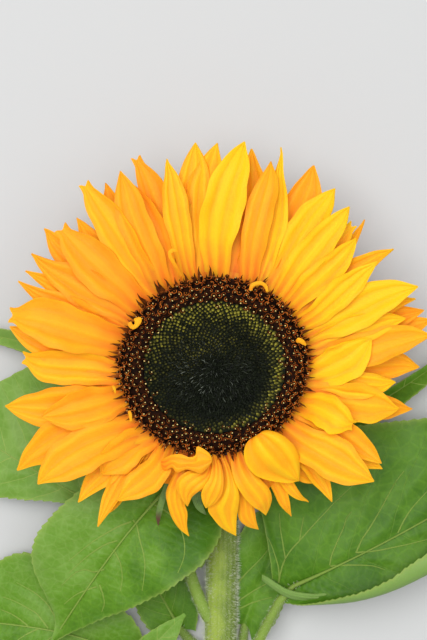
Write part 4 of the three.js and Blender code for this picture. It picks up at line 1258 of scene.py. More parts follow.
# %% [markdown]
# ## The leaves
# Every leaf hangs from the stem on a stalk. The stalk's line runs from its foot through a bow to
# the base of the blade, and the midrib is a cubic curve from there over arch and fall to the tip.
# The two halves of the blade have their own widths, at nine even steps. The big leaf on the right
# has its lower edge rolled up, so that its pale underside shows: its flat list says how far from
# the midrib it lies flat.

# %% The leaves, one by one
LEAVES = {
    "leaf_left_front": dict(
        foot=[-2, -98, 8], bow=[-14, -78, 11], base=[-13, -42, 17.5],
        arch=[-33.6, -60.8, 31], fall=[-47.4, -82.6, 25], tip=[-62.5, -106.7, 10],
        left=[16, 26, 28.5, 26.5, 23, 18, 11.5, 5, 0.5],
        right=[12, 18.5, 22.5, 24.5, 26.5, 26.5, 21, 5.5, 0.5],
        tone=0.42, shade=0.3, lobe=9, fold=0.05, roll=3, wave=1.4,
    ),
    "leaf_right_big": dict(
        foot=[5, -134, 8], bow=[13, -112, 12], base=[26, -86, 15],
        arch=[46, -76, 24], fall=[88, -56, 25], tip=[132, -27, 8],
        left=[6, 38, 46.5, 48.5, 45, 39, 31, 18, 0.5],
        right=[5, 13.5, 21, 25.5, 29, 29, 24, 14, 0.5],
        flat=[1, 4, 8.5, 11.5, 12.5, 12.5, 11.5, 8, 4],
        tone=0.11, lobe=2, fold=-0.05, roll=-2, wave=1.6,
    ),
    "leaf_left_upper": dict(
        foot=[-4, -77, 5], bow=[-22, -67, 5.5], base=[-40, -57, 8.5],
        arch=[-58, -47, 16], fall=[-80, -34, 14], tip=[-106, -20, 0],
        left=[4, 3, 4, 8, 13, 16.5, 15.5, 9.5, 0.5],
        right=[18, 34, 40, 40.5, 39.5, 39, 33.5, 17, 0.5],
        tone=0.72, lobe=8, fold=0.05, roll=0, wave=1.2,
    ),
    "leaf_left_lower": dict(
        foot=[-4, -136, 6], bow=[-18, -128, 7], base=[-36, -113, 5],
        arch=[-54, -102, 8], fall=[-78, -101, 4], tip=[-104, -100, 0],
        left=[11, 21, 25.5, 26, 24, 20, 14.5, 8, 0.5],
        right=[8, 15, 16.5, 21, 26.5, 29, 24.5, 15, 0.5],
        tone=0.52, lobe=8, fold=0.06, roll=0, wave=1.2,
    ),
    "leaf_right_low": dict(
        foot=[7, -116, 4], bow=[11.5, -109, 4], base=[11.5, -101, 4],
        arch=[17, -83, 5], fall=[30, -60, 5], tip=[44, -34, 0],
        left=[7, 13, 15.5, 16, 15, 12.5, 9, 5, 0.5],
        right=[5.5, 10.5, 11.5, 11.5, 11, 10, 8.3, 5, 0.5],
        tone=0.2, lobe=8, fold=0.1, roll=0, wave=0.8, rib=0.08, sink=3,
    ),
    "leaf_left_low": dict(
        foot=[-5, -112, 3], bow=[-9, -109, 2.5], base=[-13, -104, 2.5],
        arch=[-20, -92, 2], fall=[-26, -82, 1.5], tip=[-32, -72, 0],
        left=[4.7, 9, 10.8, 11, 10.1, 8.5, 6.2, 3.4, 0.5],
        right=[5, 9.8, 11.7, 12, 11, 9.2, 6.7, 3.7, 0.5],
        tone=0.25, lobe=3, fold=0.05, roll=0, wave=0.4,
    ),
    "leaf_left_top": dict(
        foot=[-3, -44, 6], bow=[-15, -26, 6], base=[-28, -12, 7],
        arch=[-46, 2, 13], fall=[-72, 9.5, 14], tip=[-103, 14, 0],
        left=[2, 3.6, 4, 4.2, 4, 3.6, 3, 2, 0.5],
        right=[2, 4.2, 4.8, 5, 4.8, 4.2, 3.2, 2, 0.5],
        tone=0.95, lobe=3, fold=0.6, roll=0, wave=0.6,
    ),
    "leaf_right_top": dict(
        foot=[8, -48, 6], bow=[22, -34, 6], base=[34, -27, 7],
        arch=[52, -22, 13], fall=[74, -10, 14], tip=[104, 14, 0],
        left=[1.6, 2.6, 2.8, 2.8, 2.7, 2.5, 2, 1.4, 0.5],
        right=[2.6, 5, 6, 6, 5.4, 4.6, 3.4, 2, 0.5],
        tone=0.3, lobe=3, fold=0.6, roll=0, wave=0.6,
    ),
    "leaf_left_small": dict(
        foot=[-4, -154, 8], bow=[-20, -152, 10], base=[-34, -138, 14],
        arch=[-38, -122, 20], fall=[-27, -108, 22], tip=[-11.3, -94.7, 17],
        left=[3.9, 7.7, 8.9, 8.9, 8.1, 6.7, 5, 2.9, 0.5],
        right=[5.6, 11.2, 12.9, 12.8, 11.6, 9.7, 7.2, 4.1, 0.5],
        tone=0.52, lobe=3, fold=0.3, roll=0, wave=0.6,
    ),
}
print("leaves:", list(LEAVES))

# %% [markdown]
# ## Veins and patches
# Four leaves show their veins clearly in the photograph. Those were traced from above, in
# millimetres about the bloom's axis. Each becomes a thin raised cord on the blade, and the blade
# bulges up between them. The patches are painted shade and painted light: they make a leaf darker
# or paler where it dips or bulges too softly to cast a shade of its own, and darker where the
# petals and the rolled rim shade it.

# %% The veins of the leaves in front
VEIN_LINES = {  # the veins of the leaves in front, from above, in millimetres
    "leaf_left_front": [
        [(-30.6, -57.9), (-29.1, -60.5), (-28, -65.4), (-26.7, -70.2), (-26.1, -74.7),
         (-26.5, -79.6), (-27.2, -84.4)],
        [(-38.1, -69.1), (-36.6, -71.3), (-35.1, -75.1), (-34.7, -80.3), (-35.5, -84.8)],
        [(-43.3, -82.6), (-42.2, -85.9), (-41.6, -89.7), (-42.6, -93)],
        [(-31.3, -58.6), (-35.5, -60.1), (-40.3, -62.7), (-45.2, -65.7), (-50.4, -69.8),
         (-54.9, -73.6)],
        [(-36.6, -65.7), (-41.1, -67.2), (-45.9, -70.2), (-50.4, -74), (-54.9, -78.4)],
        [(-41.4, -76.6), (-45.2, -77.7), (-48.9, -76.9), (-52.7, -78.4), (-57.9, -83.3)],
        [(-44.4, -83.3), (-48.2, -84.8), (-52.7, -87), (-57.1, -90.8)],
        [(-24.2, -51.9), (-18.3, -54.9), (-13.8, -59.4), (-11.5, -65.4), (-11.5, -71.3),
         (-13.8, -77.3)],
    ],
    "leaf_right_big": [
        [(24.2, -84), (24.9, -79.9), (26.4, -74.6), (29.1, -70.1), (32.1, -66.7), (37, -61),
         (41.5, -56.1), (45.3, -52), (49, -48.6), (52.8, -44.9)],
        [(24.5, -81), (24.2, -77.2), (22.7, -72), (20.8, -67.1), (17.8, -62.9)],
        [(26.8, -73.5), (26, -69), (24.9, -62.2), (24.5, -56.5)],
        [(32.1, -66.7), (32.8, -62.2), (33.6, -57.7)],
        [(43.4, -75.7), (44.1, -72), (46.4, -66.3), (48.6, -61.4), (49.8, -57.7), (51.7, -55.4)],
        [(53.2, -70.8), (55.4, -65.9), (58.4, -61.4), (61.8, -55.8), (65.2, -49.7), (68.2, -44.5),
         (71.6, -40.3)],
        [(69, -63.3), (71.2, -58.8), (74.2, -54.3), (76.9, -51.3), (81, -47.1)],
        [(53.2, -70.8), (60.3, -70.1), (67.8, -68.6), (73.5, -67.4), (81, -65.6)],
        [(43.7, -76.1), (50.9, -75.5), (59.2, -75.7), (64.1, -77.2)],
        [(84, -55), (88, -49), (94, -44), (100, -41)],
        [(96, -48), (100, -41), (106, -36), (111, -34)],
    ],
    "leaf_right_low": [
        [(8.2, -85.5), (12.8, -80.5), (17.9, -75.5), (21.3, -71.2)],
        [(8.2, -92.5), (13.6, -89), (19, -85.9), (22.9, -82.8)],
        [(9, -95.2), (14.4, -92.9), (19, -91.3), (22.1, -90.5)],
    ],
    "leaf_left_lower": [
        [(-64.5, -102.5), (-66.8, -99.4), (-69.1, -96.7), (-73, -94.4), (-77.6, -92.1),
         (-82.2, -90.5)],
        [(-59.8, -101.7), (-62.9, -95.9), (-65.2, -92.5), (-69.1, -89), (-73, -86.7),
         (-76.8, -84.7)],
        [(-72.2, -102.1), (-75.3, -99.4), (-79.1, -97.1), (-83, -95.6)],
        [(-67.6, -102.5), (-71.4, -104.1), (-75.3, -106.4), (-79.1, -109.5)],
        [(-56, -101.7), (-59.8, -103.7), (-64.5, -106.8), (-69.1, -110.6)],
    ],
}
print("listed veins:", {name: len(lines) for name, lines in VEIN_LINES.items()})

# %% The patches of painted shade and light, and the rolled rim
# Painted shade and painted light on the leaves, where they dip, bulge or lie under the petals and
# the rolled rim.
SHADE_AND_LIGHT_PATCHES = {  # x, y, radius in millimetres and change of tone, where a leaf bulges or dips
    "leaf_right_big": [
        (19, -68, 9, -0.28), (52, -82, 10, -0.2), (40, -66, 9, 0.14), (66, -60, 9, -0.12),
        (55, -52, 9, 0.1), (80, -46, 10, -0.1), (30, -60, 6, 0.1),
    ],
    "leaf_left_front": [
        (-30, -77, 4, -0.24), (-22.5, -74, 4.5, 0.3), (-36, -77, 4, 0.16), (-34, -85, 4, 0.12),
        (-6, -61, 11, -0.3), (-11, -73, 8, -0.2), (-28, -65, 5, -0.18), (-52, -72, 9, 0.12),
        (-55, -92, 7, -0.06), (-45, -88, 6, 0.08), (-16, -66, 5, -0.14),
    ],
    "leaf_left_lower": [(-77, -108, 14, -0.34), (-70, -96, 8, 0.12), (-82, -88, 7, 0.1)],
    "leaf_right_low": [(14, -86, 5, 0.16), (19, -80, 5, -0.1), (12, -74, 5, 0.12)],
}
ROLLED_RIM = (  # where the big right leaf's base curls over its stalk: its two edges
    [(17.9, -79.8, 17), (20.1, -80.7, 18.5), (23.5, -82.8, 19.5), (27.2, -84.8, 20),
     (32.1, -86.1, 20), (38.5, -86.6, 20), (45.3, -85.7, 20)],
    [(18.1, -81.8, 16.5), (19.8, -83.1, 17.5), (23.2, -85.5, 18), (26.9, -87.8, 18),
     (31.9, -89.4, 17.5), (38.3, -89.9, 17.5), (45.5, -89.2, 17.5)],
)
print("patches:", {name: len(patches) for name, patches in SHADE_AND_LIGHT_PATCHES.items()})

# %% [markdown]
# ## Bending one leaf
# A leaf is bent like a petal, but its margin is cut into small teeth that point to the tip. It
# waves and frills towards the margin, has a groove along its midrib, and may roll up at one side.
# A leaf without listed veins takes its pillows from the vein formula. Nothing may sink into the
# table, so no point goes below half the leaf's thickness.

# %% Bend a blank grid into a leaf blade
LEAF_THICKNESS = 0.5
CURL_RADIUS = 4.5
TOOTH_STEP = 3.0  # millimetres of midrib for each tooth
FRILL_STEP = 17
WIDE_HALF = 20  # a half this wide frills fully, and its leaf is bent from a finer grid
NEVER_CURLS = 1e9


def half_width(values, t):
    return np.maximum(0.1, smooth_line(values, t))


def blade_controls(leaf):
    return [leaf["base"], leaf["arch"], leaf["fall"], leaf["tip"]]


def leaf_blade(leaf, s, t, number, pillow_rise):
    """Points of the blade in millimetres, and their flat distance from the midrib."""
    controls = blade_controls(leaf)
    points, along = bezier(controls, t)
    steps, _ = bezier(controls, np.linspace(0, 1, 60))
    length = np.linalg.norm(np.diff(steps, axis=0), axis=1).sum()
    side = unit(np.cross([0, 0, 1], along))
    normal = np.cross(along, side)
    # Across the blade: its half widths, its teeth and the edge that rolls up.
    is_left = s > 0
    half = np.where(is_left, half_width(leaf["left"], t), half_width(leaf["right"], t))
    tooth = (t * length / TOOTH_STEP) % 1.0
    teeth = 0.75 * np.minimum(1, half / 9) * (tooth - 0.4) * smooth_step(np.abs(s), 0.86, 1)
    distance = np.abs(s) * half + teeth
    flat = np.full(len(s), NEVER_CURLS)
    if "flat" in leaf:
        flat = np.where(is_left, flat, half_width(leaf["flat"], t))
    turn = np.maximum(0, distance - flat) / CURL_RADIUS
    out = np.minimum(distance, flat) + CURL_RADIUS * np.sin(turn)
    up = CURL_RADIUS * (1 - np.cos(turn)) + leaf["fold"] * out
    x = np.where(is_left, out, -out)
    # Its relief: pillows between the veins, the groove, waves and frills.
    flat_x = np.where(is_left, distance, -distance) / length
    pillow = pillow_rise * length * (np.sin(np.pi * vein_gap(flat_x, t)) - 0.5)
    pillow = pillow * smooth_step(np.abs(flat_x), 0.01, 0.08) * (1 - np.abs(s) ** 4)
    groove = 0.9 * np.exp(-((distance / 1.5) ** 2)) * (1 - 0.8 * t)
    ripple = np.sin(9 * t + 3 * draw(number, 5) + np.where(is_left, 2, 0))
    frill = np.sin(2 * np.pi * t * length / FRILL_STEP + number)
    frill = 0.6 * smooth_step(np.abs(s), 0.6, 1) * frill * np.minimum(1, half / WIDE_HALF)
    lift = up + leaf["wave"] * s * s * ripple + pillow - groove + frill
    # The lobes at its base reach back, and the roll turns it about its midrib.
    lean = math.radians(leaf["roll"])
    back = leaf["lobe"] * s * s * (1 - t) ** 4
    points = points - along * back[:, None]
    points = points + side * (x * math.cos(lean) - lift * math.sin(lean))[:, None]
    points = points + normal * (x * math.sin(lean) + lift * math.cos(lean))[:, None]
    points[:, 2] = np.maximum(points[:, 2], LEAF_THICKNESS / 2)
    return points, flat_x


# %% [markdown]
# ## Stalks and the stem
# A stalk or stem is a grid that is wrapped round a curve until its long edges meet, which keeps a
# clean map along and around it. The edges are merged and the ends are capped, so it is closed. A
# leaf's stalk runs on along the blade as the raised midrib, half sunk in it, and grows thin.


# %% Wrap a grid round a curve
def wrap_tube(name, path, radii, around, level):
    """A closed tube through path, in millimetres. around sets its sides and level its seam."""
    rows = len(path)
    grid, s, t = blank_grid(around, rows - 1)
    grid.name = name
    row = np.rint(t * (rows - 1)).astype(int)
    along = unit(np.gradient(path, axis=0))
    up = unit(np.cross(along, level))
    side = np.cross(along, up)
    turn = np.pi * s
    radius = np.asarray(radii)[row]
    points = path[row] + up[row] * (np.cos(turn) * radius)[:, None]
    points = points + side[row] * (np.sin(turn) * radius)[:, None]
    points[:, 2] = np.maximum(points[:, 2], 0.0)
    set_points(grid.data, in_frame(points))
    select_only(grid)
    bpy.ops.object.mode_set(mode="EDIT")
    bpy.ops.mesh.select_all(action="SELECT")
    bpy.ops.mesh.remove_doubles(threshold=0.0005 * MM)
    bpy.ops.mesh.select_all(action="DESELECT")
    bpy.ops.mesh.select_non_manifold()
    bpy.ops.mesh.edge_face_add()
    bpy.ops.mesh.select_all(action="SELECT")
    bpy.ops.mesh.normals_make_consistent(inside=False)
    bpy.ops.object.mode_set(mode="OBJECT")
    return grid


# %% The line of a stalk and its midrib
PETIOLE_RADIUS = 2.1
MIDRIB_TIP_RADIUS = 0.32
STALK_STEPS = 24
MIDRIB_STEPS = 30
MIDRIB_START = 0.06  # of the blade's length, where the stalk turns into the raised midrib
MIDRIB_END = 0.92
MIDRIB_SUNK = 0.35  # millimetres


def stalk_path(leaf, steps):
    foot, bow, base, arch = (np.array(leaf[key], float) for key in ("foot", "bow", "base", "arch"))
    controls = [foot, mix(foot, bow, 0.67), mix(base, bow, 0.67), mix(base, arch, MIDRIB_START)]
    return bezier(controls, np.linspace(0, 1, steps))[0]


def stalk_and_midrib(leaf):
    """A line and its radii: along the stalk, and on along the blade as a rib that grows thin."""
    stalk = stalk_path(leaf, STALK_STEPS)
    end = leaf.get("rib", MIDRIB_END)
    rib = bezier(blade_controls(leaf), np.linspace(MIDRIB_START, end, MIDRIB_STEPS))[0]
    share = np.linspace(0, 1, MIDRIB_STEPS)
    rib[:, 2] -= MIDRIB_SUNK * smooth_step(share, 0, 0.35)
    path = np.concatenate([stalk[:-2], rib])
    path[:, 2] -= leaf.get("sink", 0.0) * smooth_step(np.linspace(0, 1, len(path)), 0, 0.35)
    radii = mix(PETIOLE_RADIUS * 1.25, PETIOLE_RADIUS * 0.8, np.linspace(0, 1, STALK_STEPS))
    thin = mix(PETIOLE_RADIUS * 0.75, MIDRIB_TIP_RADIUS, smooth_step(share, -0.4, 0.35))
    return path, np.concatenate([radii[:-2], thin])


# %% [markdown]
# ## Veins that stand up
# The listed veins only say where a vein runs as seen from above. Each is dropped onto the blade
# point by point, with a ray that is cast down on it, and wrapped as a thin tube. The quilting comes
# first: the farther a point of the blade lies from every vein, the higher it bulges, and a fine
# ripple keeps the bulges from looking moulded.

# %% Quilt a blade, and drape veins over it
QUILT_LIFT = 1.5  # how far a leaf bulges up between its listed veins
QUILT_REACH = 5.0  # this far from them
ABOVE_ALL = 100.0  # a height that nothing reaches


def distance_to(points, lines):
    """How far each point is from the nearest of these lines, seen from above."""
    marks = np.concatenate([line[:, :2] for line in lines])
    gaps = points[:, None, :2] - marks[None]
    return np.sqrt((gaps**2).sum(axis=2).min(axis=1))


def quilt(points, s, lines):
    """Lets a blade bulge up between these lines."""
    rise = QUILT_LIFT * (0.6 - np.exp(-((distance_to(points, lines) / QUILT_REACH) ** 2)))
    x, y = points[:, 0], points[:, 1]
    fine = 0.16 * np.sin(1.9 * x + 0.7 * y) * np.sin(1.7 * y - 0.8 * x)
    points[:, 2] = np.maximum(points[:, 2] + (rise + fine) * (1 - s**4), LEAF_THICKNESS / 2)


def drape(line, blade):
    """Drops the points of a line onto a leaf from above, as far as the leaf reaches."""
    path = []
    for x, y in line:
        above = in_frame([(x, y, ABOVE_ALL)])[0]
        hit, place, _, _ = blade.ray_cast(tuple(above), (0, 0, -1))
        if hit:
            path.append((np.array(place) - AXIS) / MM)
    return np.array(path)


# %% Raise the midrib and the veins
VEIN_RADIUS = 0.38
VEIN_TIP_RADIUS = 0.14
VEIN_POINTS = 30
MIDRIB_PALENESS = 0.52
VEIN_PALENESS = 0.5


def raise_veins(leaf, lines, blade):
    """The stalk with its midrib, and a thin tube along each of the lines."""
    bpy.context.view_layer.update()  # so that the rays meet the blade as it is now
    cords = [(*stalk_and_midrib(leaf), 12, MIDRIB_PALENESS)]
    for line in lines:
        path = drape(line, blade)
        if len(path) > 4:
            radii = mix(VEIN_RADIUS, VEIN_TIP_RADIUS, np.linspace(0, 1, len(path)))
            cords.append((path, radii, 6, VEIN_PALENESS))
    tubes = []
    for path, radii, around, paleness in cords:
        level = np.cross(np.gradient(path, axis=0), [0, 0, 1.0])
        tube = wrap_tube("tube", path, radii, around, level)
        tube.data.uv_layers[0].name = "flat"
        set_value(tube.data, "stalk", paleness)
        set_value(tube.data, "tone", leaf["tone"])
        tubes.append(tube)
    return tubes


# %% Grow one blade
MARGIN_POWER = 30  # high, so that only the very edge is pale
PAINTED_FAINTLY = 0.15  # how much of the painted veins shows where raised ones stand
PILLOW_RISE = 0.013  # as a share of the leaf's length
COARSE_GRID, FINE_GRID = (24, 72), (60, 150)


def keep_flat_map(blade, flat_x, flat_y):
    """Keeps the flat coordinates of the veins as the map of a blade."""
    blade.data.uv_layers[0].name = "flat"
    corner = np.empty(len(blade.data.loops), int)
    blade.data.loops.foreach_get("vertex_index", corner)
    flat = np.stack([flat_x[corner], flat_y[corner]], axis=1)
    blade.data.uv_layers["flat"].data.foreach_set("uv", flat.astype(np.float32).ravel())


def grow_leaf_blade(name, leaf, number, lines):
    """A thick blade with its map and the values that its material reads."""
    is_large = max(leaf["left"] + leaf["right"]) > WIDE_HALF
    blade, s, t = blank_grid(*(FINE_GRID if is_large else COARSE_GRID))
    points, flat_x = leaf_blade(leaf, s, t, number, 0.0 if lines else PILLOW_RISE)
    if lines:
        quilt(points, s, [*lines, stalk_and_midrib(leaf)[0]])
    set_points(blade.data, in_frame(points))
    keep_flat_map(blade, flat_x, t)
    thicken(blade, LEAF_THICKNESS)
    # Solidify adds the other side's points after the first ones, in the same order.
    count = len(points)
    is_second = np.arange(len(blade.data.vertices)) >= count
    first_is_up = blade.data.vertices[count // 2].normal.z > 0
    set_value(blade.data, "underside", is_second if first_is_up else ~is_second)
    # Painted shade: the shade value darkens one half of the blade, and the patches add painted
    # shade and painted light.
    tone = leaf["tone"] - leaf.get("shade", 0.0) * s
    for x, y, radius, change in SHADE_AND_LIGHT_PATCHES.get(name, []):
        away = (points[:, 0] - x) ** 2 + (points[:, 1] - y) ** 2
        tone += change * np.exp(-away / radius**2)
    set_value(blade.data, "tone", np.tile(tone, 2))
    set_value(blade.data, "margin", np.tile(s**MARGIN_POWER, 2))
    set_value(blade.data, "painted", PAINTED_FAINTLY if lines else 1.0)
    set_value(blade.data, "stalk", 0.0)
    return blade


# %% [markdown]
# ## Growing the leaves
# Each leaf is now a blade, its stalk with the raised midrib, and its veins, joined into one piece.
# The big leaf on the right gets one part more. Where its base curls over the stalk, the edge is
# seen from below as a pale rim. It is stretched between two listed edges, like a twisted petal.

# %% Grow the leaves
even = np.linspace(0, 1, VEIN_POINTS)
for number, (name, leaf) in enumerate(LEAVES.items()):
    lines = [smooth_line(line, even) for line in VEIN_LINES.get(name, [])]
    blade = grow_leaf_blade(name, leaf, number, lines)
    parts = [blade, *raise_veins(leaf, lines, blade)]
    if name == "leaf_right_big":
        rim, s, t = blank_grid(12, 60)
        shape = stretch_blade(ROLLED_RIM, s, t, number, bulge=0.3, fold=0.06)
        set_points(rim.data, in_frame(shape))
        rim.data.uv_layers[0].name = "flat"
        set_value(rim.data, "underside", 1.0)
        set_value(rim.data, "tone", leaf["tone"])
        thicken(rim, LEAF_THICKNESS)
        parts.append(rim)
    piece = join(name + "_blade", parts)
    smooth(piece)
    finish_piece(piece, leaf_paint, "leaf", name)

# %% [markdown]
# ## The stem
# The stem is round and ribbed, swollen where leaves leave it, and bends up to the head at the neck.
# Its line is two cubic curves, one for the neck and one for the shaft, cut into even steps. Its
# cut end shows the pale pith inside the green skin.

# %% The stem's line and radius
STEM_RADIUS = 6.25
STEM_AXIS_Z = 5.95
NECK_RADIUS = 5.3
NECK_FLARE = 4.2
NECK_TOP_Z = 23.5
NECK_FOOT = [3, -22, STEM_AXIS_Z]
STEM_END = [-5, -250, STEM_AXIS_Z]
STEM_STEPS = 240
SKIN_CLEARANCE = 0.12  # keeps the skin inside the solid where it is swollen


def stem_path(steps):
    neck = [[1, 1, NECK_TOP_Z], [1, 1, 13], [2.8, -10, STEM_AXIS_Z], NECK_FOOT]
    shaft = [NECK_FOOT, [3.6, -90, STEM_AXIS_Z], [1, -170, STEM_AXIS_Z], STEM_END]
    neck_line = bezier(neck, np.linspace(0, 1, 60))[0]
    shaft_line = bezier(shaft, np.linspace(0, 1, 240)[1:])[0]
    fine = np.concatenate([neck_line, shaft_line])
    reach = np.concatenate([[0], np.cumsum(np.linalg.norm(np.diff(fine, axis=0), axis=1))])
    wanted = np.linspace(0, reach[-1], steps)
    return np.stack([np.interp(wanted, reach, fine[:, axis]) for axis in range(3)], axis=1)


path = stem_path(STEM_STEPS)
share = np.linspace(0, 1, STEM_STEPS)
flare = NECK_FLARE * np.exp(-((share / 0.025) ** 2))
radii = mix(NECK_RADIUS, STEM_RADIUS, smooth_step(share, 0.03, 0.12)) + flare
radii = radii - SKIN_CLEARANCE
for leaf in LEAVES.values():
    swelling = 0.16 * np.exp(-(((path[:, 1] - leaf["foot"][1]) / 3.0) ** 2))
    radii = radii + swelling * (share > 0.1)
print("stem length", round(float(np.linalg.norm(np.diff(path, axis=0), axis=1).sum())), "mm")

# %% Stem colour
stem_paint, tree, shader, where, cloud = new_material("stem_skin", 9.0)
stem_ribs = tree.group(RIBS, Where=where["UV"], Count=16.0)
around, _, _ = tree.parts(where["UV"])
# Painted light and painted shade: one side of the stem is painted a lighter green and the other a
# darker one, as if lit from one side.
painted_lit_share = tree.step(tree.times_plus(cloud, 0.03, around), 0.45, 0.56)
painted_shade_side = tree.blend(cloud, (0.13, 0.195, 0.030, 1), (0.175, 0.25, 0.042, 1))
painted_lit_side = tree.blend(cloud, (0.23, 0.320, 0.034, 1), (0.295, 0.385, 0.056, 1))
green = tree.blend(painted_lit_share, painted_shade_side, painted_lit_side)
green = tree.blend(tree.times(stem_ribs["Rib"], 0.25), green, (0.30, 0.39, 0.09, 1))
fleck = tree.times(tree.step(stem_ribs["Fleck"], 0.5, 0.75), 0.35)
green = tree.blend(fleck, green, (0.13, 0.20, 0.03, 1))
tree.feed(shader["Base Color"], tree.blend(tree.value("pith"), green, (0.72, 0.74, 0.55, 1)))

# %% Stem surface
relief = tree.times_plus(stem_ribs["Rib"], 0.6, tree.times(stem_ribs["Fleck"], 0.4))
tree.feed(shader["Normal"], tree.bump(relief, 0.35, 0.6))
tree.feed(shader["Roughness"], tree.times_plus(stem_ribs["Fleck"], 0.2, 0.5))
shader["Subsurface Weight"].default_value = 0.1
shader["Subsurface Radius"].default_value = (0.6, 1.0, 0.25)
shader["Subsurface Scale"].default_value = 2.0 * MM
shader["Specular IOR Level"].default_value = 0.25
shader["Sheen Weight"].default_value = 0.06
shader["Sheen Roughness"].default_value = 0.5

# %% [markdown]
# ## The cut end and the scars
# The knife went through at a slant, so the last rings of the stem lean more and more the nearer
# they are to the end. The cap is inset twice, first to the ring of skin and then a little way in,
# and what lies inside is pith. Where lower leaves were stripped off, a knob with a flat face is
# left: a sphere, squashed, with its outer side turned in.

# %% Grow the stem and cut its end
CUT_SLOPE = 0.6
CUT_REACH = 12.0  # over which the rings of the stem lean into the slanted cut
stem = wrap_tube("stem_skin", path, radii, 48, np.array([1.0, 0, 0]))
points = (get_points(stem.data) - AXIS) / MM
slant = np.clip((STEM_END[1] + CUT_REACH - points[:, 1]) / CUT_REACH, 0, 1)
points[:, 1] += CUT_SLOPE * points[:, 2] * slant
set_points(stem.data, in_frame(points))
set_value(stem.data, "pith", 0.0)
for face in stem.data.polygons:
    face.select = len(face.vertices) > 8 and face.center.y < 0
for edge in stem.data.edges:
    edge.select = False
for vertex in stem.data.vertices:
    vertex.select = False
bpy.context.view_layer.objects.active = stem
bpy.ops.object.mode_set(mode="EDIT")
bpy.ops.mesh.select_mode(type="FACE")
bpy.ops.mesh.inset(thickness=1.1 * MM, depth=0)
bpy.ops.mesh.inset(thickness=0.5 * MM, depth=-0.25 * MM)
bpy.ops.object.mode_set(mode="OBJECT")
pith = np.zeros(len(stem.data.vertices))
for face in stem.data.polygons:
    if face.select:
        pith[list(face.vertices)] = 1.0
set_value(stem.data, "pith", pith)
print("points in the pith:", int(pith.sum()))

# %% Add the scars, and finish the stem
SCARS = [(-168, 1), (-196, -1), (-226, 1)]  # how far along, and on which side
SCAR_FACE = 0.55  # of the knob's size, beyond which its side is turned in
knobs = []
for place, hand in SCARS:
    bpy.ops.mesh.primitive_uv_sphere_add(segments=20, ring_count=14, radius=1)
    knob = bpy.context.object
    ball = get_points(knob.data)
    turned_in = SCAR_FACE * hand - 0.35 * (ball[:, 0] - SCAR_FACE * hand)
    ball[:, 0] = np.where(ball[:, 0] * hand > SCAR_FACE, turned_in, ball[:, 0])
    share = (place - NECK_FOOT[1]) / (STEM_END[1] - NECK_FOOT[1])
    axis_x = mix(NECK_FOOT[0], STEM_END[0], share)
    centre = np.array([axis_x + hand * (STEM_RADIUS - 0.9), place, STEM_AXIS_Z + 1.2])
    set_points(knob.data, in_frame(ball * np.array([2.2, 3.4, 2.8]) + centre))
    set_value(knob.data, "pith", np.clip((ball[:, 0] * hand - 0.3) * 1.2, 0, 0.45))
    knobs.append(knob)
stem = join("stem_skin", [stem, *knobs])
smooth(stem, 50)
finish_piece(stem, stem_paint, "stem", "stem")

# %% [markdown]
# ## The green base of the head
# Behind the petals sits a shallow green bowl, clad in rows of pointed bracts. Its rim is painted
# dark where the petals are seated, as painted shade in the slit under the disc. The tips of the
# bracts show between the petals here and there, and some are dry and brown. Two loose bracts hang
# out below the petals, one dry and one green.

# %% Bract material
bract_paint, tree, shader, where, cloud = new_material("bract_skin", 5.0)
_, lengthwise, _ = tree.parts(where["UV"])
bract_ribs = tree.group(RIBS, Where=where["UV"], Count=5.0)
green = tree.blend(cloud, (0.06, 0.15, 0.02, 1), (0.16, 0.30, 0.05, 1))
green = tree.blend(tree.times(bract_ribs["Rib"], 0.3), green, (0.28, 0.40, 0.12, 1))
dry = tree.times(tree.step(lengthwise, 0.55, 1.0), tree.value("dryness"))
skin = tree.blend(dry, green, (0.10, 0.035, 0.012, 1))
# Painted shade: the rim of the bowl is painted near black, where the slit under the disc lies in
# shade.
tree.feed(shader["Base Color"], tree.blend(tree.value("rim"), skin, (0.03, 0.010, 0.004, 1)))
tree.feed(shader["Normal"], tree.bump(bract_ribs["Fleck"], 0.3, 0.5))
tree.feed(shader["Roughness"], tree.times_plus(cloud, 0.2, 0.5))
shader["Sheen Weight"].default_value = 0.2

# %% Turn the bowl
bowl_profile = [
    (0, -18.2), (9.5, -18.2), (19, -15.5), (27, -10), (32, -4.5), (33, -1.9),
    (28.9, -1.9), (28.9, 1.3), (0, 1.3),
]
head = turn_profile("head_bowl", [(radius, HEAD_Z + z) for radius, z in bowl_profile])
heights = get_points(head.data)[:, 2] / MM - HEAD_Z
# The rim value marks the top of the bowl that is painted dark, as painted shade.
set_value(head.data, "rim", smooth_step(heights, -4.6, -2.5))
set_value(head.data, "dryness", 0.0)
print("the bowl is", round(heights.max() - heights.min(), 1), "mm deep")

# %% Hang out the loose bracts
LOOSE_BRACTS = [  # a dry one and a green one that hang out below the petals, by their two edges
    (
        [(-17.2, -40.3, 36), (-19.1, -45.6, 34), (-20.8, -50.8, 31), (-21.7, -55.5, 29),
         (-21, -59.5, 27)],
        [(-15.3, -41, 36), (-17.2, -46, 34), (-18.8, -51.5, 31), (-20, -55.9, 29),
         (-21, -59.5, 27)],
    ),
    (
        [(-9.1, -44.7, 36), (-8.4, -48.7, 33), (-7, -52.3, 31), (-5.1, -54.3, 29.5),
         (-3.3, -55.3, 28)],
        [(-5.1, -44, 36), (-5.1, -47.9, 34), (-4.7, -50.7, 32), (-4, -53.1, 30), (-3.3, -55.3, 28)],
    ),
]
blank, s, t = blank_grid(8, 14)
bracts = []
for number, (edges, dryness) in enumerate(zip(LOOSE_BRACTS, (1.6, 0.2))):
    bracts.append(grow_blade(blank, stretch_blade(edges, s, t, number), dryness=dryness))
print("loose bracts:", len(bracts))

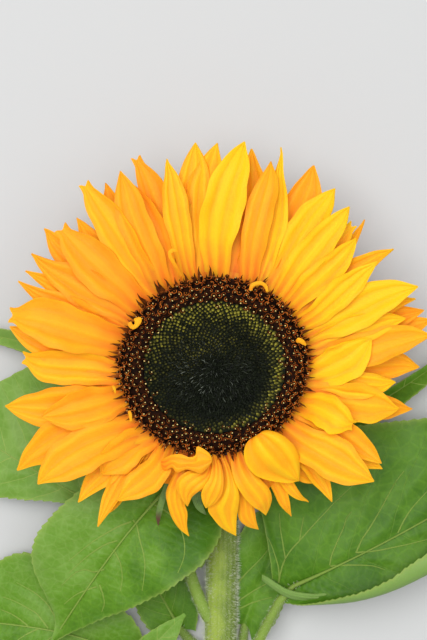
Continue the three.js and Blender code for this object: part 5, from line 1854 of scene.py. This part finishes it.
# %% Clad the bowl in rows of bracts
BRACT_ROWS = [
    dict(count=13, radius=29, z=-4.0, reach=50, tip_z=-6.0, width=9, turn=0),
    dict(count=13, radius=26, z=-7.5, reach=44, tip_z=-12, width=9, turn=14),
    dict(count=8, radius=20, z=-12.5, reach=35, tip_z=-17, width=8, turn=5),
]
BRACT_THICKNESS = 0.6
for row_number, row in enumerate(BRACT_ROWS):
    for i in range(row["count"]):
        number = 20 * row_number + i
        angle = row["turn"] + 360 * i / row["count"]
        reach = row["reach"] + 2.5 * draw(number, 1)
        start = bloom_point(angle, row["radius"] - 3, HEAD_Z + row["z"])
        middle = bloom_point(angle, mix(row["radius"], reach, 0.55), HEAD_Z + row["z"] - 0.5)
        end = bloom_point(angle + 3 * draw(number, 2), reach, HEAD_Z + row["tip_z"])
        controls = [start, mix(start, middle, 0.67), mix(end, middle, 0.67), end]
        half = row["width"] / 2 * (1 - t) ** 0.7 + 0.15
        shape = bend_blade(controls, s, t, half, number, cup=-0.12, fold=0.2, ripple=0.25)
        bracts.append(grow_blade(blank, shape, dryness=max(0, draw(number, 51))))
bpy.data.objects.remove(blank)
bract_sheet = join("bracts", bracts)
thicken(bract_sheet, BRACT_THICKNESS)
head = join("head_base", [head, bract_sheet])
smooth(head, 45)
finish_piece(head, bract_paint, "bract", "receptacle")

# %% [markdown]
# ## Hairs
# A sunflower is bristly. Short white hairs stand on the stem and the stalks, and they catch the
# light along the stem's edges. Hair curves would be lost when the model is exported, so each hair
# is a thin three-sided spike, bent a little. A numbered draw spreads them, a little closer together
# towards the head and the foot of a stalk. Each stands out from the skin and leans its own way.
# Hairs that would stick into the table or past the cut are left out.

# %% Hair material
hair_paint, tree, shader, where, cloud = new_material("hair_white", 3.0)
hair_colour = tree.blend(cloud, (0.55, 0.62, 0.40, 1), (0.80, 0.82, 0.68, 1))
tree.feed(shader["Base Color"], hair_colour)
tree.feed(shader["Roughness"], tree.times_plus(cloud, 0.2, 0.35))

# %% Model one hair
bpy.ops.mesh.primitive_cone_add(
    vertices=3, radius1=0.037, radius2=0.0, depth=1.0, location=(0, 0, 0.5)
)
hair = bpy.context.object
bpy.ops.object.transform_apply(location=True)
points = get_points(hair.data)
points[:, 0] += 0.12 * points[:, 2] ** 2
set_points(hair.data, points)
set_value(hair.data, "tip", 0.0)
print("one hair has", len(hair.data.polygons), "faces")


# %% Spread hairs over a tube
def tube_hairs(path, radii, count, seed, longest):
    """Places, directions and lengths of hairs round a tube."""
    chance = np.random.default_rng(seed)
    share = chance.random(count) ** 1.3 * (len(path) - 1.01)
    row = share.astype(int)
    centre = path[row] + (path[row + 1] - path[row]) * (share - row)[:, None]
    along = unit(path[row + 1] - path[row])
    spoke = unit(np.cross(along, chance.normal(size=(count, 3))))
    roots = centre + spoke * (np.asarray(radii)[row] - 0.1)[:, None]
    directions = unit(spoke + 0.22 * chance.normal(size=(count, 3)))
    lengths = longest * (0.4 + 0.6 * chance.random(count))
    keep = roots[:, 2] + directions[:, 2] * lengths > 0.1
    keep &= roots[:, 1] > STEM_END[1] + CUT_SLOPE * roots[:, 2] + 0.5
    return roots[keep], directions[keep], lengths[keep]


# %% Set the hairs on the stem and on the stalks
STEM_HAIRS, STEM_HAIR_LENGTH = 28000, 1.9
STALK_HAIRS, STALK_HAIR_LENGTH = 1700, 1.2
NECK_STEPS = 8  # of the stem's line, that the head hides
tufts = [tube_hairs(path[NECK_STEPS:], radii[NECK_STEPS:], STEM_HAIRS, 1, STEM_HAIR_LENGTH)]
for seed, leaf in enumerate(LEAVES.values(), 2):
    line, widths = (values[:STALK_STEPS] for values in stalk_and_midrib(leaf))
    tufts.append(tube_hairs(line, widths, STALK_HAIRS, seed, STALK_HAIR_LENGTH))
roots, directions, lengths = (np.concatenate(parts) for parts in zip(*tufts))
hairs = stamp("hairs", hair, roots, directions, lengths, 1.3)
bpy.data.objects.remove(hair)
finish_piece(hairs, hair_paint, "stem")
